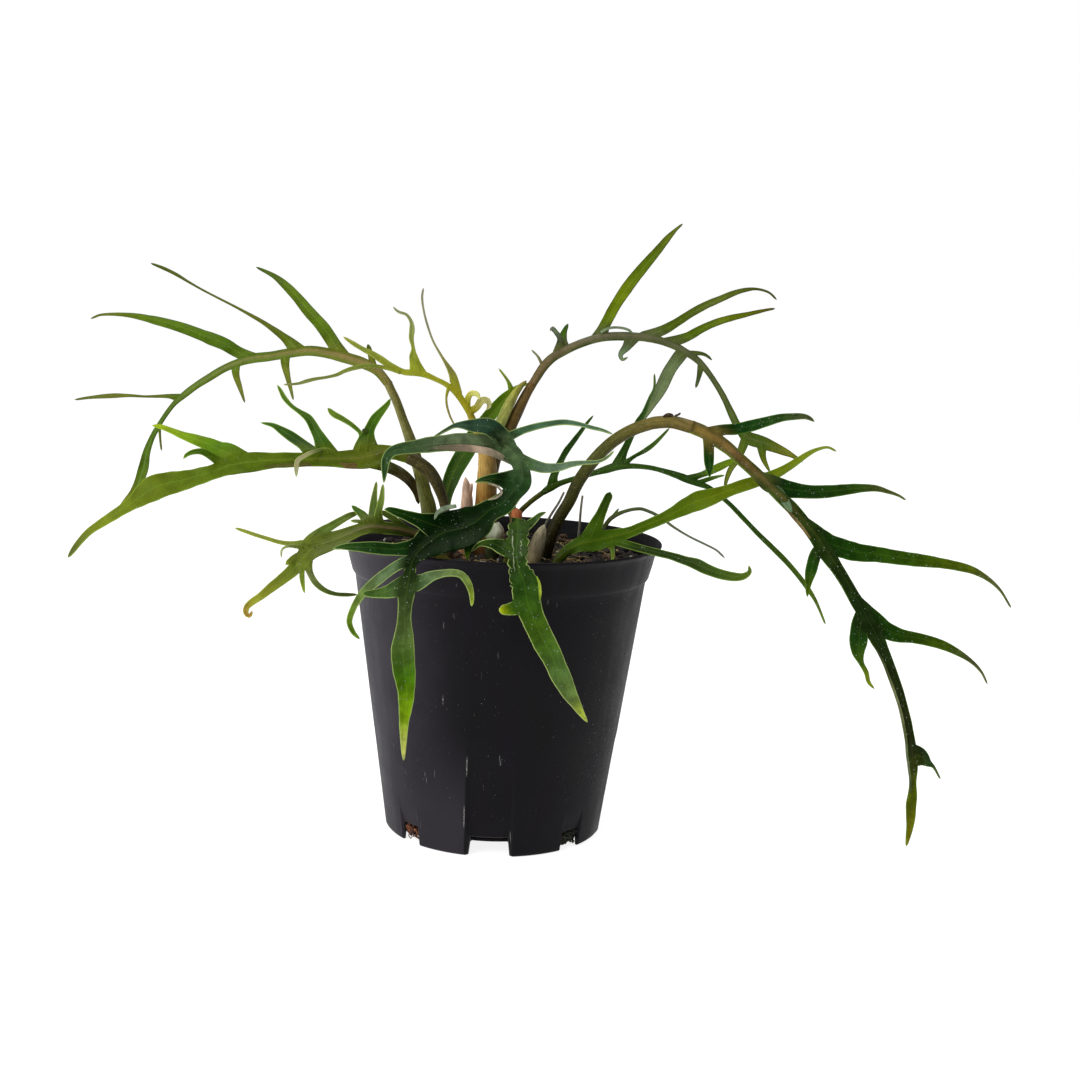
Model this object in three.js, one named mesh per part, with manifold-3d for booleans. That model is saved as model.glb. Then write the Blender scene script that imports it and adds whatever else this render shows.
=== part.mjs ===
// Potted philodendron with long arching leaves cut into narrow lobes.
// Millimetres, +Z up. The origin is the centre of the pot's foot circle.

import * as THREE from 'three';
import { mergeVertices } from 'three/addons/utils/BufferGeometryUtils.js';
import Module from 'manifold-3d';

const wasm = await Module();
wasm.setup();

// Pot
const POT_HEIGHT = 110.3;
const LIP_RADIUS = 60;
const BODY_TOP_RADIUS = 54.5;
const FOOT_RADIUS = 41.2;
const BODY_TOP = 96.5;
const WALL = 1.3;
// Radius and height along the flared lip: up its outside, then down its inside.
const LIP_OUTSIDE = [[55.4, 97.5], [56.7, 102], [58.2, 107.8], [LIP_RADIUS, 109.3], [LIP_RADIUS, POT_HEIGHT]];
const LIP_INSIDE = [[58.7, POT_HEIGHT], [56.9, 107.6], [55.4, 102]];
const FLOOR_LIFT = 3.6;
const FLOOR_THICKNESS = 1.4;
const POT_STEPS = 64;
const FLUTE_DEPTH = 1.1;
const FLUTE_TOP = 38;
const FLUTE_EDGE = 0.6;
const FLUTE_RUN_OUT = 1.6;
const WIDE_NOTCH = 15.5;
const NARROW_NOTCH = 9.5;
const NOTCH_HEIGHT = 6.8;
const NOTCH_DRAFT = 0.8;
const NOTCHES = 8;
const CUTTER_NEAR = 33;
const CUTTER_LENGTH = 12;
const CUTTER_FOOT = 2;

// Soil
const SOIL_TOP = 103.6;
const SOIL_RELIEF = 0.8;
const SOIL_GAP = 0.4;
const SOIL_STEPS = 24;
const SOIL_RINGS = [40, 27, 14, 0];
const SOIL_FLARE = 0.8;
const FLUTE_CLEAR = 0.1;
const FLUTE_END = 2;
const HOLE_GAP = 0.35;

// Leaves
const EDGE_THICKNESS = 0.62;
const LOBE_THICKNESS = 0.85;
const RIB_THICKNESS = 1.9;
const RIB_STEP = 8.5;
const LOBE_STEP = 7.6;
const NARROW_LOBE = 3.1;
const STALK_STEP = 9;
const MOST_LOBE_STEPS = 9;
const JOINT_GAP = 0.32;
const LOBE_SPREAD = 1.7;
const SCRAP = 1;

// Every leaf point is written as it looks from this place in front of the plant:
// its x and z where the line of sight meets the upright plane through the pot's axis.
const VIEW = new THREE.Vector3(14.3, -550, 191.5);

// The place in space of a point seen at x, z and lying at depth y.
function seen(x, z, y) {
  const scale = 1 + y / -VIEW.y;
  return new THREE.Vector3(VIEW.x + (x - VIEW.x) * scale, y, VIEW.z + (z - VIEW.z) * scale);
}

// Distance in the seen plane between two points that start with x, z.
const seenLength = (a, b) => Math.hypot(b[0] - a[0], b[1] - a[1]);

// A smooth curve through points of any number of values, with chord lengths as its parameter.
function smoothCurve(points) {
  const at = [0];
  for (let i = 1; i < points.length; i += 1) {
    at.push(at[i - 1] + seenLength(points[i - 1], points[i]) + 1e-3);
  }
  const slope = (i, k) => {
    const a = Math.max(i - 1, 0);
    const b = Math.min(i + 1, points.length - 1);
    return (points[b][k] - points[a][k]) / (at[b] - at[a]);
  };
  const evaluate = (s) => {
    let i = 0;
    while (i < points.length - 2 && s > at[i + 1]) i += 1;
    const h = at[i + 1] - at[i];
    const t = (s - at[i]) / h;
    const t2 = t * t;
    const t3 = t2 * t;
    return points[i].map((p, k) => (2 * t3 - 3 * t2 + 1) * p
      + (t3 - 2 * t2 + t) * h * slope(i, k)
      + (3 * t2 - 2 * t3) * points[i + 1][k]
      + (t3 - t2) * h * slope(i + 1, k));
  };
  return { length: at[at.length - 1], evaluate };
}

// Even samples [x, z, y, width, dx, dz] of a curve whose points are [x, z, y, width].
function samples(points, steps) {
  const curve = smoothCurve(points);
  const list = [];
  for (let i = 0; i <= steps; i += 1) {
    const s = (curve.length * i) / steps;
    const a = curve.evaluate(Math.max(s - 0.4, 0));
    const b = curve.evaluate(Math.min(s + 0.4, curve.length));
    const size = seenLength(a, b) || 1;
    const here = curve.evaluate(s);
    list.push([...here, (b[0] - a[0]) / size, (b[1] - a[1]) / size]);
  }
  return list;
}

// A solid of manifold-3d from a closed list of vertices and triangles.
function solidOf(vertices, triangles) {
  return new wasm.Manifold(new wasm.Mesh({
    numProp: 3,
    vertProperties: Float32Array.from(vertices.flatMap((v) => [v.x, v.y, v.z])),
    triVerts: Uint32Array.from(triangles.flat()),
  }));
}

function solidOfGeometry(geometry) {
  const bare = geometry.clone();
  bare.deleteAttribute('normal');
  bare.deleteAttribute('uv');
  const merged = mergeVertices(bare, 1e-4);
  return new wasm.Manifold(new wasm.Mesh({
    numProp: 3,
    vertProperties: Float32Array.from(merged.attributes.position.array),
    triVerts: Uint32Array.from(merged.index.array),
  }));
}

function geometryOf(solid) {
  const mesh = solid.getMesh();
  const geometry = new THREE.BufferGeometry();
  geometry.setAttribute('position', new THREE.BufferAttribute(Float32Array.from(mesh.vertProperties), 3));
  geometry.setIndex(Array.from(mesh.triVerts));
  return geometry;
}

const union = (solids) => solids.reduce((whole, solid) => whole.add(solid));

// A thickened blade along samples. rows[i] holds the middle surface, split alike on both faces.
function bladeSolid(line, columns, lean, middle) {
  const rows = line.map(([x, z, y, width, dx, dz]) => {
    const row = [];
    for (let j = 0; j <= columns; j += 1) {
      const across = (j / columns - 0.5) * Math.max(width, 0.7);
      const ox = -dz * across;
      const oz = dx * across;
      row.push(seen(x + ox, z + oz, y + lean[0] * ox + lean[1] * oz));
    }
    return row;
  });
  const last = rows.length - 1;
  const faces = [[], []];
  rows.forEach((row, i) => {
    row.forEach((point, j) => {
      const along = rows[Math.min(i + 1, last)][j].clone().sub(rows[Math.max(i - 1, 0)][j]);
      const over = row[Math.min(j + 1, columns)].clone().sub(row[Math.max(j - 1, 0)]);
      const normal = along.cross(over).normalize();
      const edge = j === 0 || j === columns;
      const taper = Math.min(1, (last - i + 0.6) / 2);
      const full = edge ? EDGE_THICKNESS : Math.max(EDGE_THICKNESS + 0.1, middle(i / last) * taper);
      faces[0].push(point.clone().addScaledVector(normal, full / 2));
      faces[1].push(point.clone().addScaledVector(normal, -full / 2));
    });
  });
  const wide = columns + 1;
  const count = rows.length * wide;
  const top = (i, j) => i * wide + j;
  const low = (i, j) => count + i * wide + j;
  const triangles = [];
  const quad = (a, b, c, d) => triangles.push([a, b, c], [a, c, d]);
  for (let i = 0; i < last; i += 1) {
    for (let j = 0; j < columns; j += 1) {
      quad(top(i, j), top(i + 1, j), top(i + 1, j + 1), top(i, j + 1));
      triangles.push([low(i, j), low(i + 1, j + 1), low(i + 1, j)]);
      triangles.push([low(i, j), low(i, j + 1), low(i + 1, j + 1)]);
    }
    quad(top(i, 0), low(i, 0), low(i + 1, 0), top(i + 1, 0));
    quad(top(i + 1, columns), low(i + 1, columns), low(i, columns), top(i, columns));
  }
  for (let j = 0; j < columns; j += 1) {
    quad(top(0, j), top(0, j + 1), low(0, j + 1), low(0, j));
    quad(top(last, j + 1), top(last, j), low(last, j), low(last, j + 1));
  }
  return solidOf([...faces[0], ...faces[1]], triangles);
}

// A round stalk along samples, made `grow` thicker all round.
function stalkSolid(line, sides, grow) {
  const rings = line.map(([x, z, y], i) => {
    const here = seen(x, z, y);
    const next = line[Math.min(i + 1, line.length - 1)];
    const before = line[Math.max(i - 1, 0)];
    const along = seen(next[0], next[1], next[2]).sub(seen(before[0], before[1], before[2])).normalize();
    const right = new THREE.Vector3(0, 1, 0).cross(along).normalize();
    const front = along.clone().cross(right);
    const radius = Math.max(line[i][3], 0.75) / 2 * (1 + y / -VIEW.y) + grow;
    const ring = [];
    for (let k = 0; k < sides; k += 1) {
      const turn = (2 * Math.PI * k) / sides;
      ring.push(here.clone()
        .addScaledVector(right, radius * Math.cos(turn))
        .addScaledVector(front, radius * Math.sin(turn)));
    }
    return ring;
  });
  const triangles = [];
  const at = (i, k) => i * sides + (k % sides);
  for (let i = 0; i < rings.length - 1; i += 1) {
    for (let k = 0; k < sides; k += 1) {
      triangles.push([at(i, k), at(i, k + 1), at(i + 1, k + 1)]);
      triangles.push([at(i, k), at(i + 1, k + 1), at(i + 1, k)]);
    }
  }
  for (let k = 1; k < sides - 1; k += 1) {
    triangles.push([at(0, 0), at(0, k + 1), at(0, k)]);
    triangles.push([at(rings.length - 1, 0), at(rings.length - 1, k), at(rings.length - 1, k + 1)]);
  }
  return solidOf(rings.flat(), triangles);
}

const ribLine = (rib) => samples(rib, Math.round(smoothCurve(rib).length / RIB_STEP));

// The rib's depth where its straight steps pass nearest to a seen point.
function ribDepth(rib, x, z) {
  const line = ribLine(rib);
  let nearest = Infinity;
  let depth = 0;
  for (let i = 1; i < line.length; i += 1) {
    const [a, b] = [line[i - 1], line[i]];
    const step = seenLength(a, b);
    const along = ((x - a[0]) * (b[0] - a[0]) + (z - a[1]) * (b[1] - a[1])) / (step * step);
    const t = THREE.MathUtils.clamp(along, 0, 1);
    const foot = [0, 1, 2].map((k) => THREE.MathUtils.lerp(a[k], b[k], t));
    const away = seenLength(foot, [x, z]);
    if (away < nearest) {
      nearest = away;
      [, , depth] = foot;
    }
  }
  return depth;
}

// A lobe grows from the rib: it starts on the rib's line, and its tip goes nearer or farther by `out`.
function lobeSolid(leaf, { points, out = 0 }) {
  const [first] = points;
  const rootDepth = ribDepth(leaf.rib, first[0], first[1]);
  const total = points.slice(1).reduce((sum, p, i) => sum + seenLength(points[i], p), 0);
  let done = 0;
  const path = points.map(([x, z, width], i) => {
    if (i > 0) done += seenLength(points[i - 1], points[i]);
    return [x, z, rootDepth + LOBE_SPREAD * out * (done / total), width];
  });
  const steps = Math.min(MOST_LOBE_STEPS, Math.max(3, Math.round(total / LOBE_STEP)));
  const line = samples(path, steps);
  const wide = Math.max(...points.slice(1).map((p) => p[2])) > NARROW_LOBE;
  return bladeSolid(line, wide ? 2 : 1, leaf.lean, () => LOBE_THICKNESS);
}

// The rib of a leaf with its end lobe: thick where it is a stalk, thin where it is a blade.
function ribSolid(leaf) {
  const line = ribLine(leaf.rib);
  const from = leaf.thick ?? RIB_THICKNESS;
  return bladeSolid(line, 2, leaf.lean, (u) => THREE.MathUtils.lerp(from, LOBE_THICKNESS, u ** 1.5));
}

// Leaf A, the far arch to the upper left.
const leafA = {
  name: 'leaf_a',
  lean: [0.1, 0.5],
  stalk: [[-25.5, 94, 2, 6.2], [-26.6, 108, 3, 6.2], [-27.6, 119, 4, 6], [-29.4, 126, 5, 5.2],
    [-31.7, 134, 6, 4.6], [-34.8, 144, 8, 4.2], [-38, 152.5, 10, 3.4], [-41, 160, 12, 3.3],
    [-44, 166, 14, 3.2]],
  rib: [[-44, 166, 14, 3.2], [-48, 170.5, 17, 3.4], [-53, 173, 21, 4], [-60, 175, 26, 4.4],
    [-66, 176.3, 30, 4], [-73, 177, 34, 3.6], [-80, 176, 38, 3.5], [-88, 174.4, 43, 3.6],
    [-95, 173.3, 47, 3.6], [-100, 171.5, 50, 2.8], [-105, 169.2, 53, 2.7], [-110, 166, 55, 2.8],
    [-115, 162.7, 57, 2.6], [-120, 158.7, 59, 2.4], [-123, 156, 60, 1.8], [-126, 152.1, 60, 1.7],
    [-129, 147.4, 60, 1.8], [-131.5, 142.7, 60, 2.2], [-133.5, 137.3, 60, 2.8],
    [-134.7, 131.5, 59, 3.8], [-136.5, 126, 58, 3.3], [-139, 121.5, 57, 2.6],
    [-141.8, 118.2, 56, 1.9], [-145, 114.5, 55, 0.7]],
  lobes: [
    { points: [[-61, 175, 7], [-63.7, 179, 5.2], [-68.5, 185.8, 4.6], [-73.8, 191.4, 4.3],
      [-78.3, 196.5, 3.8], [-83, 201, 2.9], [-87, 203.9, 1.8], [-93.2, 206.7, 0.7]], out: 14 },
    { points: [[-77, 176.8, 6], [-80.5, 179.8, 4.2], [-84, 182.5, 2.8], [-88, 185.2, 2],
      [-91.6, 187.4, 1.5], [-100.2, 191.8, 0.9], [-112.7, 197.7, 0.75], [-118, 200.5, 0.9],
      [-122.5, 203, 1.2], [-127, 205, 1.2], [-131.8, 206.7, 0.7]], out: 16 },
    { points: [[-94, 173.4, 5], [-99.6, 175.5, 4.4], [-104.7, 178.3, 4.7], [-110, 180.2, 4.7],
      [-120, 183.6, 3.8], [-130, 186, 3.2], [-140, 187.6, 1.7], [-150, 187.4, 0.9],
      [-154, 185.8, 0.7]], out: 10 },
    { points: [[-82, 176, 4], [-82.2, 172, 3.2], [-81.3, 167.5, 2.2], [-80.3, 163.7, 1.5],
      [-79, 158.6, 0.7]], out: -9 },
    { points: [[-100.5, 171, 3.4], [-100.3, 167, 2.6], [-99, 163, 1.9], [-97, 157, 0.7]], out: -8 },
    { points: [[-121, 158.2, 3], [-125.3, 158.4, 1.6], [-133.8, 158, 0.9], [-140.3, 158.1, 1.2],
      [-147, 157.7, 1.8], [-154.8, 156.8, 1.1], [-160.2, 155.8, 0.7]], out: 12 },
    { points: [[-128.7, 148, 1.2], [-128.5, 143, 0.8], [-128, 138, 0.7]], out: -3 },
    { points: [[-49.5, 172, 3], [-51, 177.6, 2], [-51.8, 180.2, 1.3]], out: 3 },
  ],
};

// Leaf B, the broad light one at the middle left.
const leafB = {
  name: 'leaf_b',
  lean: [-0.1, 0.55],
  stalk: [[-19.5, 93, -15, 3.4], [-20.4, 106, -16, 3.4], [-21.6, 119, -17, 3.4], [-22.9, 124.5, -18, 3.9],
    [-24.9, 129.4, -19, 4.6], [-28, 134, -20, 5], [-32, 137, -21, 4.9], [-36.3, 138.9, -22, 4.4]],
  rib: [[-36.3, 138.9, -22, 4.4], [-41.8, 140.4, -23, 5], [-46, 140, -24, 7], [-50, 138.7, -25.5, 8.6],
    [-56, 137.5, -27, 7.2], [-65, 137.2, -30, 5.6], [-75, 136.6, -33, 5.3], [-85, 136, -36, 6],
    [-94, 135, -38, 7.4],
    [-102, 133.4, -40, 7], [-108, 131, -42, 5.8], [-115, 128.6, -43, 6.3], [-120, 127.1, -44, 7.5],
    [-125, 125.9, -45, 8.9], [-130, 124.3, -46, 9.4], [-134, 121.8, -47, 8.2], [-137, 119.3, -48, 6.3],
    [-140, 117.2, -49, 4.9], [-145, 113.7, -50, 3.9], [-150, 110.3, -51, 3.2], [-155, 106.7, -52, 2.8],
    [-158.5, 103, -53, 2.5], [-161.3, 99.3, -54, 2], [-163.3, 96.3, -54, 0.8]],
  lobes: [
    { points: [[-98, 135, 9], [-103, 137.8, 8], [-106.5, 139, 6.6], [-110, 140.8, 5.4],
      [-115, 142.5, 4.2], [-120, 144, 3.1], [-124.7, 145.8, 2.2], [-128.5, 147, 1.7],
      [-131.5, 147.3, 0.7]], out: 8 },
    { points: [[-104, 133.5, 4], [-109.4, 136.6, 3], [-112.7, 138.2, 2.6], [-116, 138, 2],
      [-118.6, 136.8, 1.4], [-119.8, 135.3, 0.8]], out: -6 },
    { points: [[-66, 139, 9], [-68, 143, 5.6], [-70.5, 147.5, 4], [-73.3, 152, 3.2],
      [-76.5, 154.3, 1.9], [-79.6, 156.4, 1.6], [-82.3, 159.3, 1.8], [-83.7, 161.8, 1.5],
      [-85, 164, 0.7]], out: 8 },
    { points: [[-71, 139, 5], [-75, 142, 4.2], [-79.2, 144.8, 4.1], [-83.2, 147.2, 3],
      [-86.5, 149, 1.8], [-91, 149.8, 0.7]], out: 19 },
    { points: [[-55, 139.2, 4], [-53.6, 146.5, 1.8], [-56.6, 149.8, 1.8], [-60.6, 152.3, 2.2],
      [-64, 154, 2.2], [-66.2, 156.1, 1.4]], out: 16 },
    { points: [[-52, 138.5, 12], [-51.6, 143.5, 8], [-50.7, 148.3, 4.4], [-48.6, 152.7, 3.6],
      [-46, 156, 2.6], [-44, 158.5, 1.8], [-43, 160.5, 0.8]], out: 9 },
    { points: [[-49, 137, 7], [-43.8, 135.2, 4.6], [-38.8, 133, 4.2], [-35, 130, 3.8],
      [-32.8, 126.4, 3], [-31.6, 121.5, 1.2]], out: 31 },
    { points: [[-62, 138.5, 3], [-66.5, 140.8, 1.4], [-71.7, 139.5, 1.6], [-75, 137.8, 1.8],
      [-77.2, 136, 2], [-77.6, 133, 1.6], [-77.6, 130.1, 0.7]], out: -8 },
  ],
};

// Leaf C, the light one that hangs over the rim at the front left.
const leafC = {
  name: 'leaf_c',
  lean: [-0.2, 0.5],
  stalk: [[-17, 93, -24, 3.6], [-21, 100, -26, 3.6], [-26.5, 106, -29, 3.6], [-32, 110, -33, 3.6]],
  rib: [[-32, 110, -33, 3.6], [-38, 111.5, -37, 4.4], [-43.6, 112, -42, 4.8], [-48.3, 112.3, -46, 5],
    [-52.3, 111.5, -49, 5], [-56.2, 109.9, -52, 5.2], [-60.2, 108, -55, 6], [-64.1, 106.4, -58, 7],
    [-68.1, 104.7, -61, 7.4], [-72, 102.2, -64, 7], [-75.3, 98.6, -67, 6.2], [-78.6, 94.5, -69, 5],
    [-82.5, 91, -71, 4.2], [-86.5, 87.7, -73, 3.6], [-90.5, 84.2, -75, 3], [-93.8, 81.8, -76, 2.7],
    [-95.8, 79.7, -77, 2.4], [-96, 77.4, -78, 2.2], [-94.7, 76.4, -79, 1.6], [-93.7, 78.4, -80, 1]],
  lobes: [
    { points: [[-68, 104.6, 5], [-74.5, 105, 2.8], [-78.7, 104.7, 2.1], [-83.3, 105.1, 1.7],
      [-88, 106.3, 1.6], [-92.7, 107.6, 1.6], [-96.8, 108.9, 1.4], [-100.4, 109.9, 0.8]], out: 6 },
    { points: [[-73, 101.5, 4], [-78, 99.2, 2.8], [-81.2, 96.8, 1.8]], out: -8 },
    { points: [[-74, 101.5, 6], [-72.5, 105.5, 4.6], [-69, 109, 3.6], [-64.5, 111.8, 3.1],
      [-60.6, 114.3, 2.8], [-57, 116.4, 2.4], [-54.3, 117.3, 1.4]], out: 18 },
    { points: [[-50, 112.5, 5], [-52, 116, 3.6], [-54, 117.8, 2.8], [-56.7, 120, 1.2]], out: 7 },
    { points: [[-47.6, 112.5, 7], [-48.2, 117, 4.6], [-48.4, 121.8, 2.8], [-47.6, 129.4, 0.9]], out: 10 },
    { points: [[-46.3, 112.5, 5], [-46.6, 117.6, 2.8], [-45.6, 122.6, 2.4], [-45.1, 128.6, 0.9]], out: 3 },
    { points: [[-75, 98, 4], [-75, 94.5, 2.2], [-74.9, 91.3, 2], [-74, 86, 0.8]], out: -5 },
    { points: [[-72.6, 99, 4], [-72.4, 95.4, 3], [-71.4, 92.6, 2.6], [-69.2, 89.5, 2.5],
      [-65.9, 87.2, 2], [-62, 86.1, 1.6], [-58, 86, 1.5], [-54, 86.2, 0.9]], out: 11 },
    { points: [[-34.4, 110.6, 3], [-36.8, 112.7, 2.4], [-40.3, 115.2, 2.4], [-43.5, 117.1, 2.2],
      [-46, 118.2, 1.8]], out: -3 },
    { points: [[-50.5, 112, 2.6], [-53.4, 114, 1.5], [-57, 114.2, 0.9]], out: 3 },
    { points: [[-70.5, 103.2, 4], [-76.4, 103.6, 1.6], [-80.5, 103.7, 1], [-82.7, 102.3, 0.8],
      [-82.9, 99.2, 0.7]], out: -2 },
  ],
};

// Leaf D, the dark one that arches to the front, with a hanging end lobe.
const leafD = {
  name: 'leaf_d',
  lean: [0.05, 0.6],
  stalk: [[5.4, 94, -9, 4], [5.4, 108, -10, 4], [4.6, 117, -11, 3.8], [2.8, 122.6, -12, 3.6],
    [4.2, 128, -12.8, 3.5], [6, 132.4, -13.4, 3.5], [5.6, 136.8, -14.6, 3.6], [3.4, 140.4, -16, 3.8],
    [1.4, 142.2, -17.4, 4]],
  rib: [[0.4, 143.6, -18, 7], [3.6, 141, -21, 6.6], [6.2, 136.6, -24, 6.2],
    [6.7, 131, -27, 7.2], [3.4, 127, -30, 7.4], [0.2, 123, -34, 8], [-5.3, 119.7, -37, 9],
    [-9.6, 115.8, -41, 13.6], [-15.2, 112.9, -45, 15.2], [-21.2, 111.2, -49, 14.8], [-26.5, 107.8, -53, 12.4],
    [-31, 103.8, -58, 9], [-33.5, 99.4, -62.5, 4.4], [-34.3, 95.5, -65, 4.6], [-35, 91.5, -67, 6.4],
    [-35.5, 87.5, -68.5, 6.4], [-35.8, 83, -69, 5.4], [-36, 77, -70, 5.6], [-36, 71, -71, 7.6],
    [-36.3, 65, -71, 9], [-35.8, 59, -71, 8.7], [-35, 53, -71, 7.6], [-34.6, 47.7, -71, 6.6],
    [-34.8, 42.5, -71, 5.2], [-35.2, 37, -71, 3.8], [-35.2, 31, -71, 2.7], [-35.1, 25.5, -71, 1.7],
    [-35, 22, -71, 0.7]],
  lobes: [
    { points: [[6.6, 131, 11], [2.5, 131.5, 9.2], [-1.2, 131.9, 5.6], [-5.4, 132, 3.2],
      [-8.6, 131.4, 2], [-10.8, 130.5, 0.9]], out: -6 },
    { points: [[-11, 115, 8], [-12, 108.2, 5.6], [-12.7, 104.2, 2.8], [-12.8, 102.2, 1.6],
      [-12.5, 100.6, 0.9]], out: -2 },
    { points: [[-19, 111.8, 14], [-25, 113.4, 10.6], [-30.5, 115.2, 6.4], [-35.5, 116.8, 4.2],
      [-39.5, 118, 3.3], [-42.5, 118.9, 2.4], [-44.5, 119.1, 1]], out: -4 },
    { points: [[-26, 107, 11], [-33, 105, 7], [-40, 104, 5], [-48, 104.3, 4.7], [-55, 104.4, 3.6],
      [-60, 104.2, 2.2], [-63.5, 103.4, 0.8]], out: -9 },
    { points: [[-33, 100.4, 5], [-38.5, 98.2, 4], [-43.3, 94.7, 4], [-47.3, 91.3, 3.8],
      [-51, 87.8, 3.4], [-53.6, 84.3, 2.8], [-55.6, 80.3, 2.5], [-56.8, 75.6, 2.2],
      [-55.3, 71.7, 2], [-52.7, 69, 1]], out: -3 },
    { points: [[-35, 91.5, 7], [-39, 89.2, 6.6], [-42.8, 87.6, 5], [-47.8, 86.8, 3.4],
      [-52, 86.6, 1.8]], out: 1 },
    { points: [[-35, 90.5, 7], [-31, 91.6, 6.2], [-26.3, 94.2, 4], [-22.3, 95.4, 3],
      [-18.3, 95.9, 2.8], [-15, 95.3, 2.8], [-12.6, 92.8, 2.8], [-11.2, 89.6, 2.4],
      [-10.6, 86.3, 1.8], [-10.6, 83.3, 0.9]], out: -2 },
    { points: [[1.6, 142.8, 8], [-4, 144.2, 7.6], [-10, 145.2, 7], [-16, 145.3, 6.7],
      [-22.7, 144.7, 6.3], [-28.8, 143.8, 6], [-34.3, 142.8, 5], [-39.2, 141.9, 4.2],
      [-42.4, 140.5, 3.9], [-44.2, 137.6, 3.5], [-44.6, 134, 2.7], [-44.8, 129, 0.8]], out: -17 },
    { points: [[1.2, 143.2, 6], [-1.8, 148.2, 7], [-6.3, 151.4, 6.6], [-12.4, 151.6, 5],
      [-16.2, 151.7, 3], [-19, 151.3, 1.8], [-22.7, 149.3, 1.3], [-27.2, 146.4, 0.7]], out: -6 },
    { points: [[1.2, 143.3, 5], [0.8, 147.2, 4], [4.4, 149.6, 3], [9.9, 151.7, 2.6], [15.6, 153.2, 2.4],
      [21.5, 154.1, 2.2], [26.7, 153.7, 1.8], [32, 152.5, 1.5], [36, 151.7, 1.2], [39.8, 150.4, 0.7]],
    out: -8 },
    { points: [[4, 140.5, 6], [7.6, 138.9, 5], [11.3, 137.6, 4.6], [15.3, 136.8, 3.8],
      [20.6, 137.3, 3.1], [24.6, 138.5, 2.4], [29.2, 139.3, 1.8], [33.9, 139.7, 1.5],
      [36.6, 140.6, 1.2], [38.6, 142, 1.1], [40.6, 144.2, 0.7]], out: -13 },
  ],
};

// Leaf F, the arch behind on the right.
const leafF = {
  name: 'leaf_f',
  lean: [-0.1, 0.5],
  stalk: [[-7, 96, 9, 4.6], [-6.6, 112, 9.2, 4.6], [-6, 124, 9.4, 4.6], [-3.7, 138.5, 9.6, 4.6],
    [-1.4, 144.4, 10, 4.4], [1.2, 150, 10.4, 4.4], [4, 157, 11, 4.2], [6.8, 163, 12, 3.6],
    [9.4, 167.8, 13, 3.2]],
  rib: [[9.4, 167.8, 13, 3.2], [13.2, 174.2, 15, 3.2], [16.5, 177.8, 16, 3.2], [21, 180.6, 18, 3],
    [26.3, 183.2, 20, 3], [31.4, 185.1, 22, 3], [36, 186.1, 24, 3.1], [41, 186.5, 26, 3.1],
    [45.5, 186.5, 28, 3.1], [50, 186.4, 30, 3], [54.8, 185.7, 31, 3], [58.8, 184.5, 33, 2.7],
    [62.8, 183, 34, 2.6], [66.8, 180.8, 35, 2.5], [70.3, 178.5, 36, 2.3], [73.8, 174.8, 37, 2.1],
    [77.3, 170.2, 38, 2.1], [80.3, 165.6, 38, 2.3], [83.3, 160, 38, 2.7], [86.3, 154.8, 38, 3],
    [90, 151, 37, 4.4], [95, 149.4, 36, 5], [99.7, 147.8, 35, 4], [104.3, 146, 34, 2.9],
    [107.5, 144.6, 33, 1.7], [111, 142.5, 32, 0.7]],
  lobes: [
    { points: [[33, 186, 5], [34.6, 189, 4.2], [36.3, 192.5, 4.1], [38.4, 196.8, 4],
      [41.2, 201.6, 4.1], [44.8, 207, 4.1], [49, 212.5, 3.8], [53.4, 218, 3.1], [57, 222.7, 2.2],
      [60, 226, 1.1], [62, 227.8, 0.7]], out: 12 },
    { points: [[49, 186.3, 4.6], [56.6, 189.2, 3.6], [61.7, 192.3, 3.1], [66.6, 195.7, 3],
      [71.8, 198.8, 2.8], [77.5, 201.5, 2.4], [82, 203.6, 2], [86, 204.9, 1.6], [90.2, 205.4, 1],
      [94.8, 204.3, 0.8], [97.8, 201.8, 0.7]], out: 12 },
    { points: [[58, 184.6, 4.4], [65.2, 186.9, 3.6], [71, 190.3, 2.9], [76.2, 192.8, 2.6],
      [81.5, 194.6, 2.3], [86.5, 195.9, 1.9], [90.5, 197, 1.5], [94.8, 198.1, 1], [97.4, 198.6, 0.7]],
    out: 4 },
    { points: [[66, 181, 3], [70, 181.3, 1.7], [72.7, 180.8, 1.1], [75.3, 179, 0.7]], out: -4 },
    { points: [[71.3, 177.5, 3], [70.8, 173, 1.8], [69.8, 168.6, 0.9]], out: -5 },
    { points: [[64.5, 181.8, 5], [61.6, 177.6, 4.7], [59.5, 174, 4.6], [57, 168, 4.4],
      [55, 164, 3.6], [53, 160, 2.4], [50.8, 155.5, 0.7]], out: -3 },
    { points: [[46, 186, 5], [43.4, 182.4, 3], [41.5, 179.8, 1.9], [42.2, 178, 1.2],
      [44.2, 178.9, 0.7]], out: -5 },
    { points: [[19.6, 180.5, 6], [19.8, 184.5, 3.6], [20.5, 187.6, 2], [21.7, 190.3, 1.1]], out: 4 },
    { points: [[18.5, 180.5, 4], [19, 184.6, 2.2], [17.4, 187, 1.7], [15.9, 188.4, 1.7],
      [15.2, 187.5, 0.9]], out: -4 },
    { points: [[13, 174.5, 1.4], [11, 178, 0.9], [8.6, 180.3, 0.7]], out: 3 },
    { points: [[95, 149, 4], [96.4, 143.2, 2.1], [99, 138.5, 0.8]], out: -3 },
    { points: [[89.5, 151, 4], [87, 143.5, 2.6], [84.2, 138.6, 2.1], [83, 134.8, 1.6],
      [82.5, 131, 0.7]], out: -3 },
  ],
};

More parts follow.
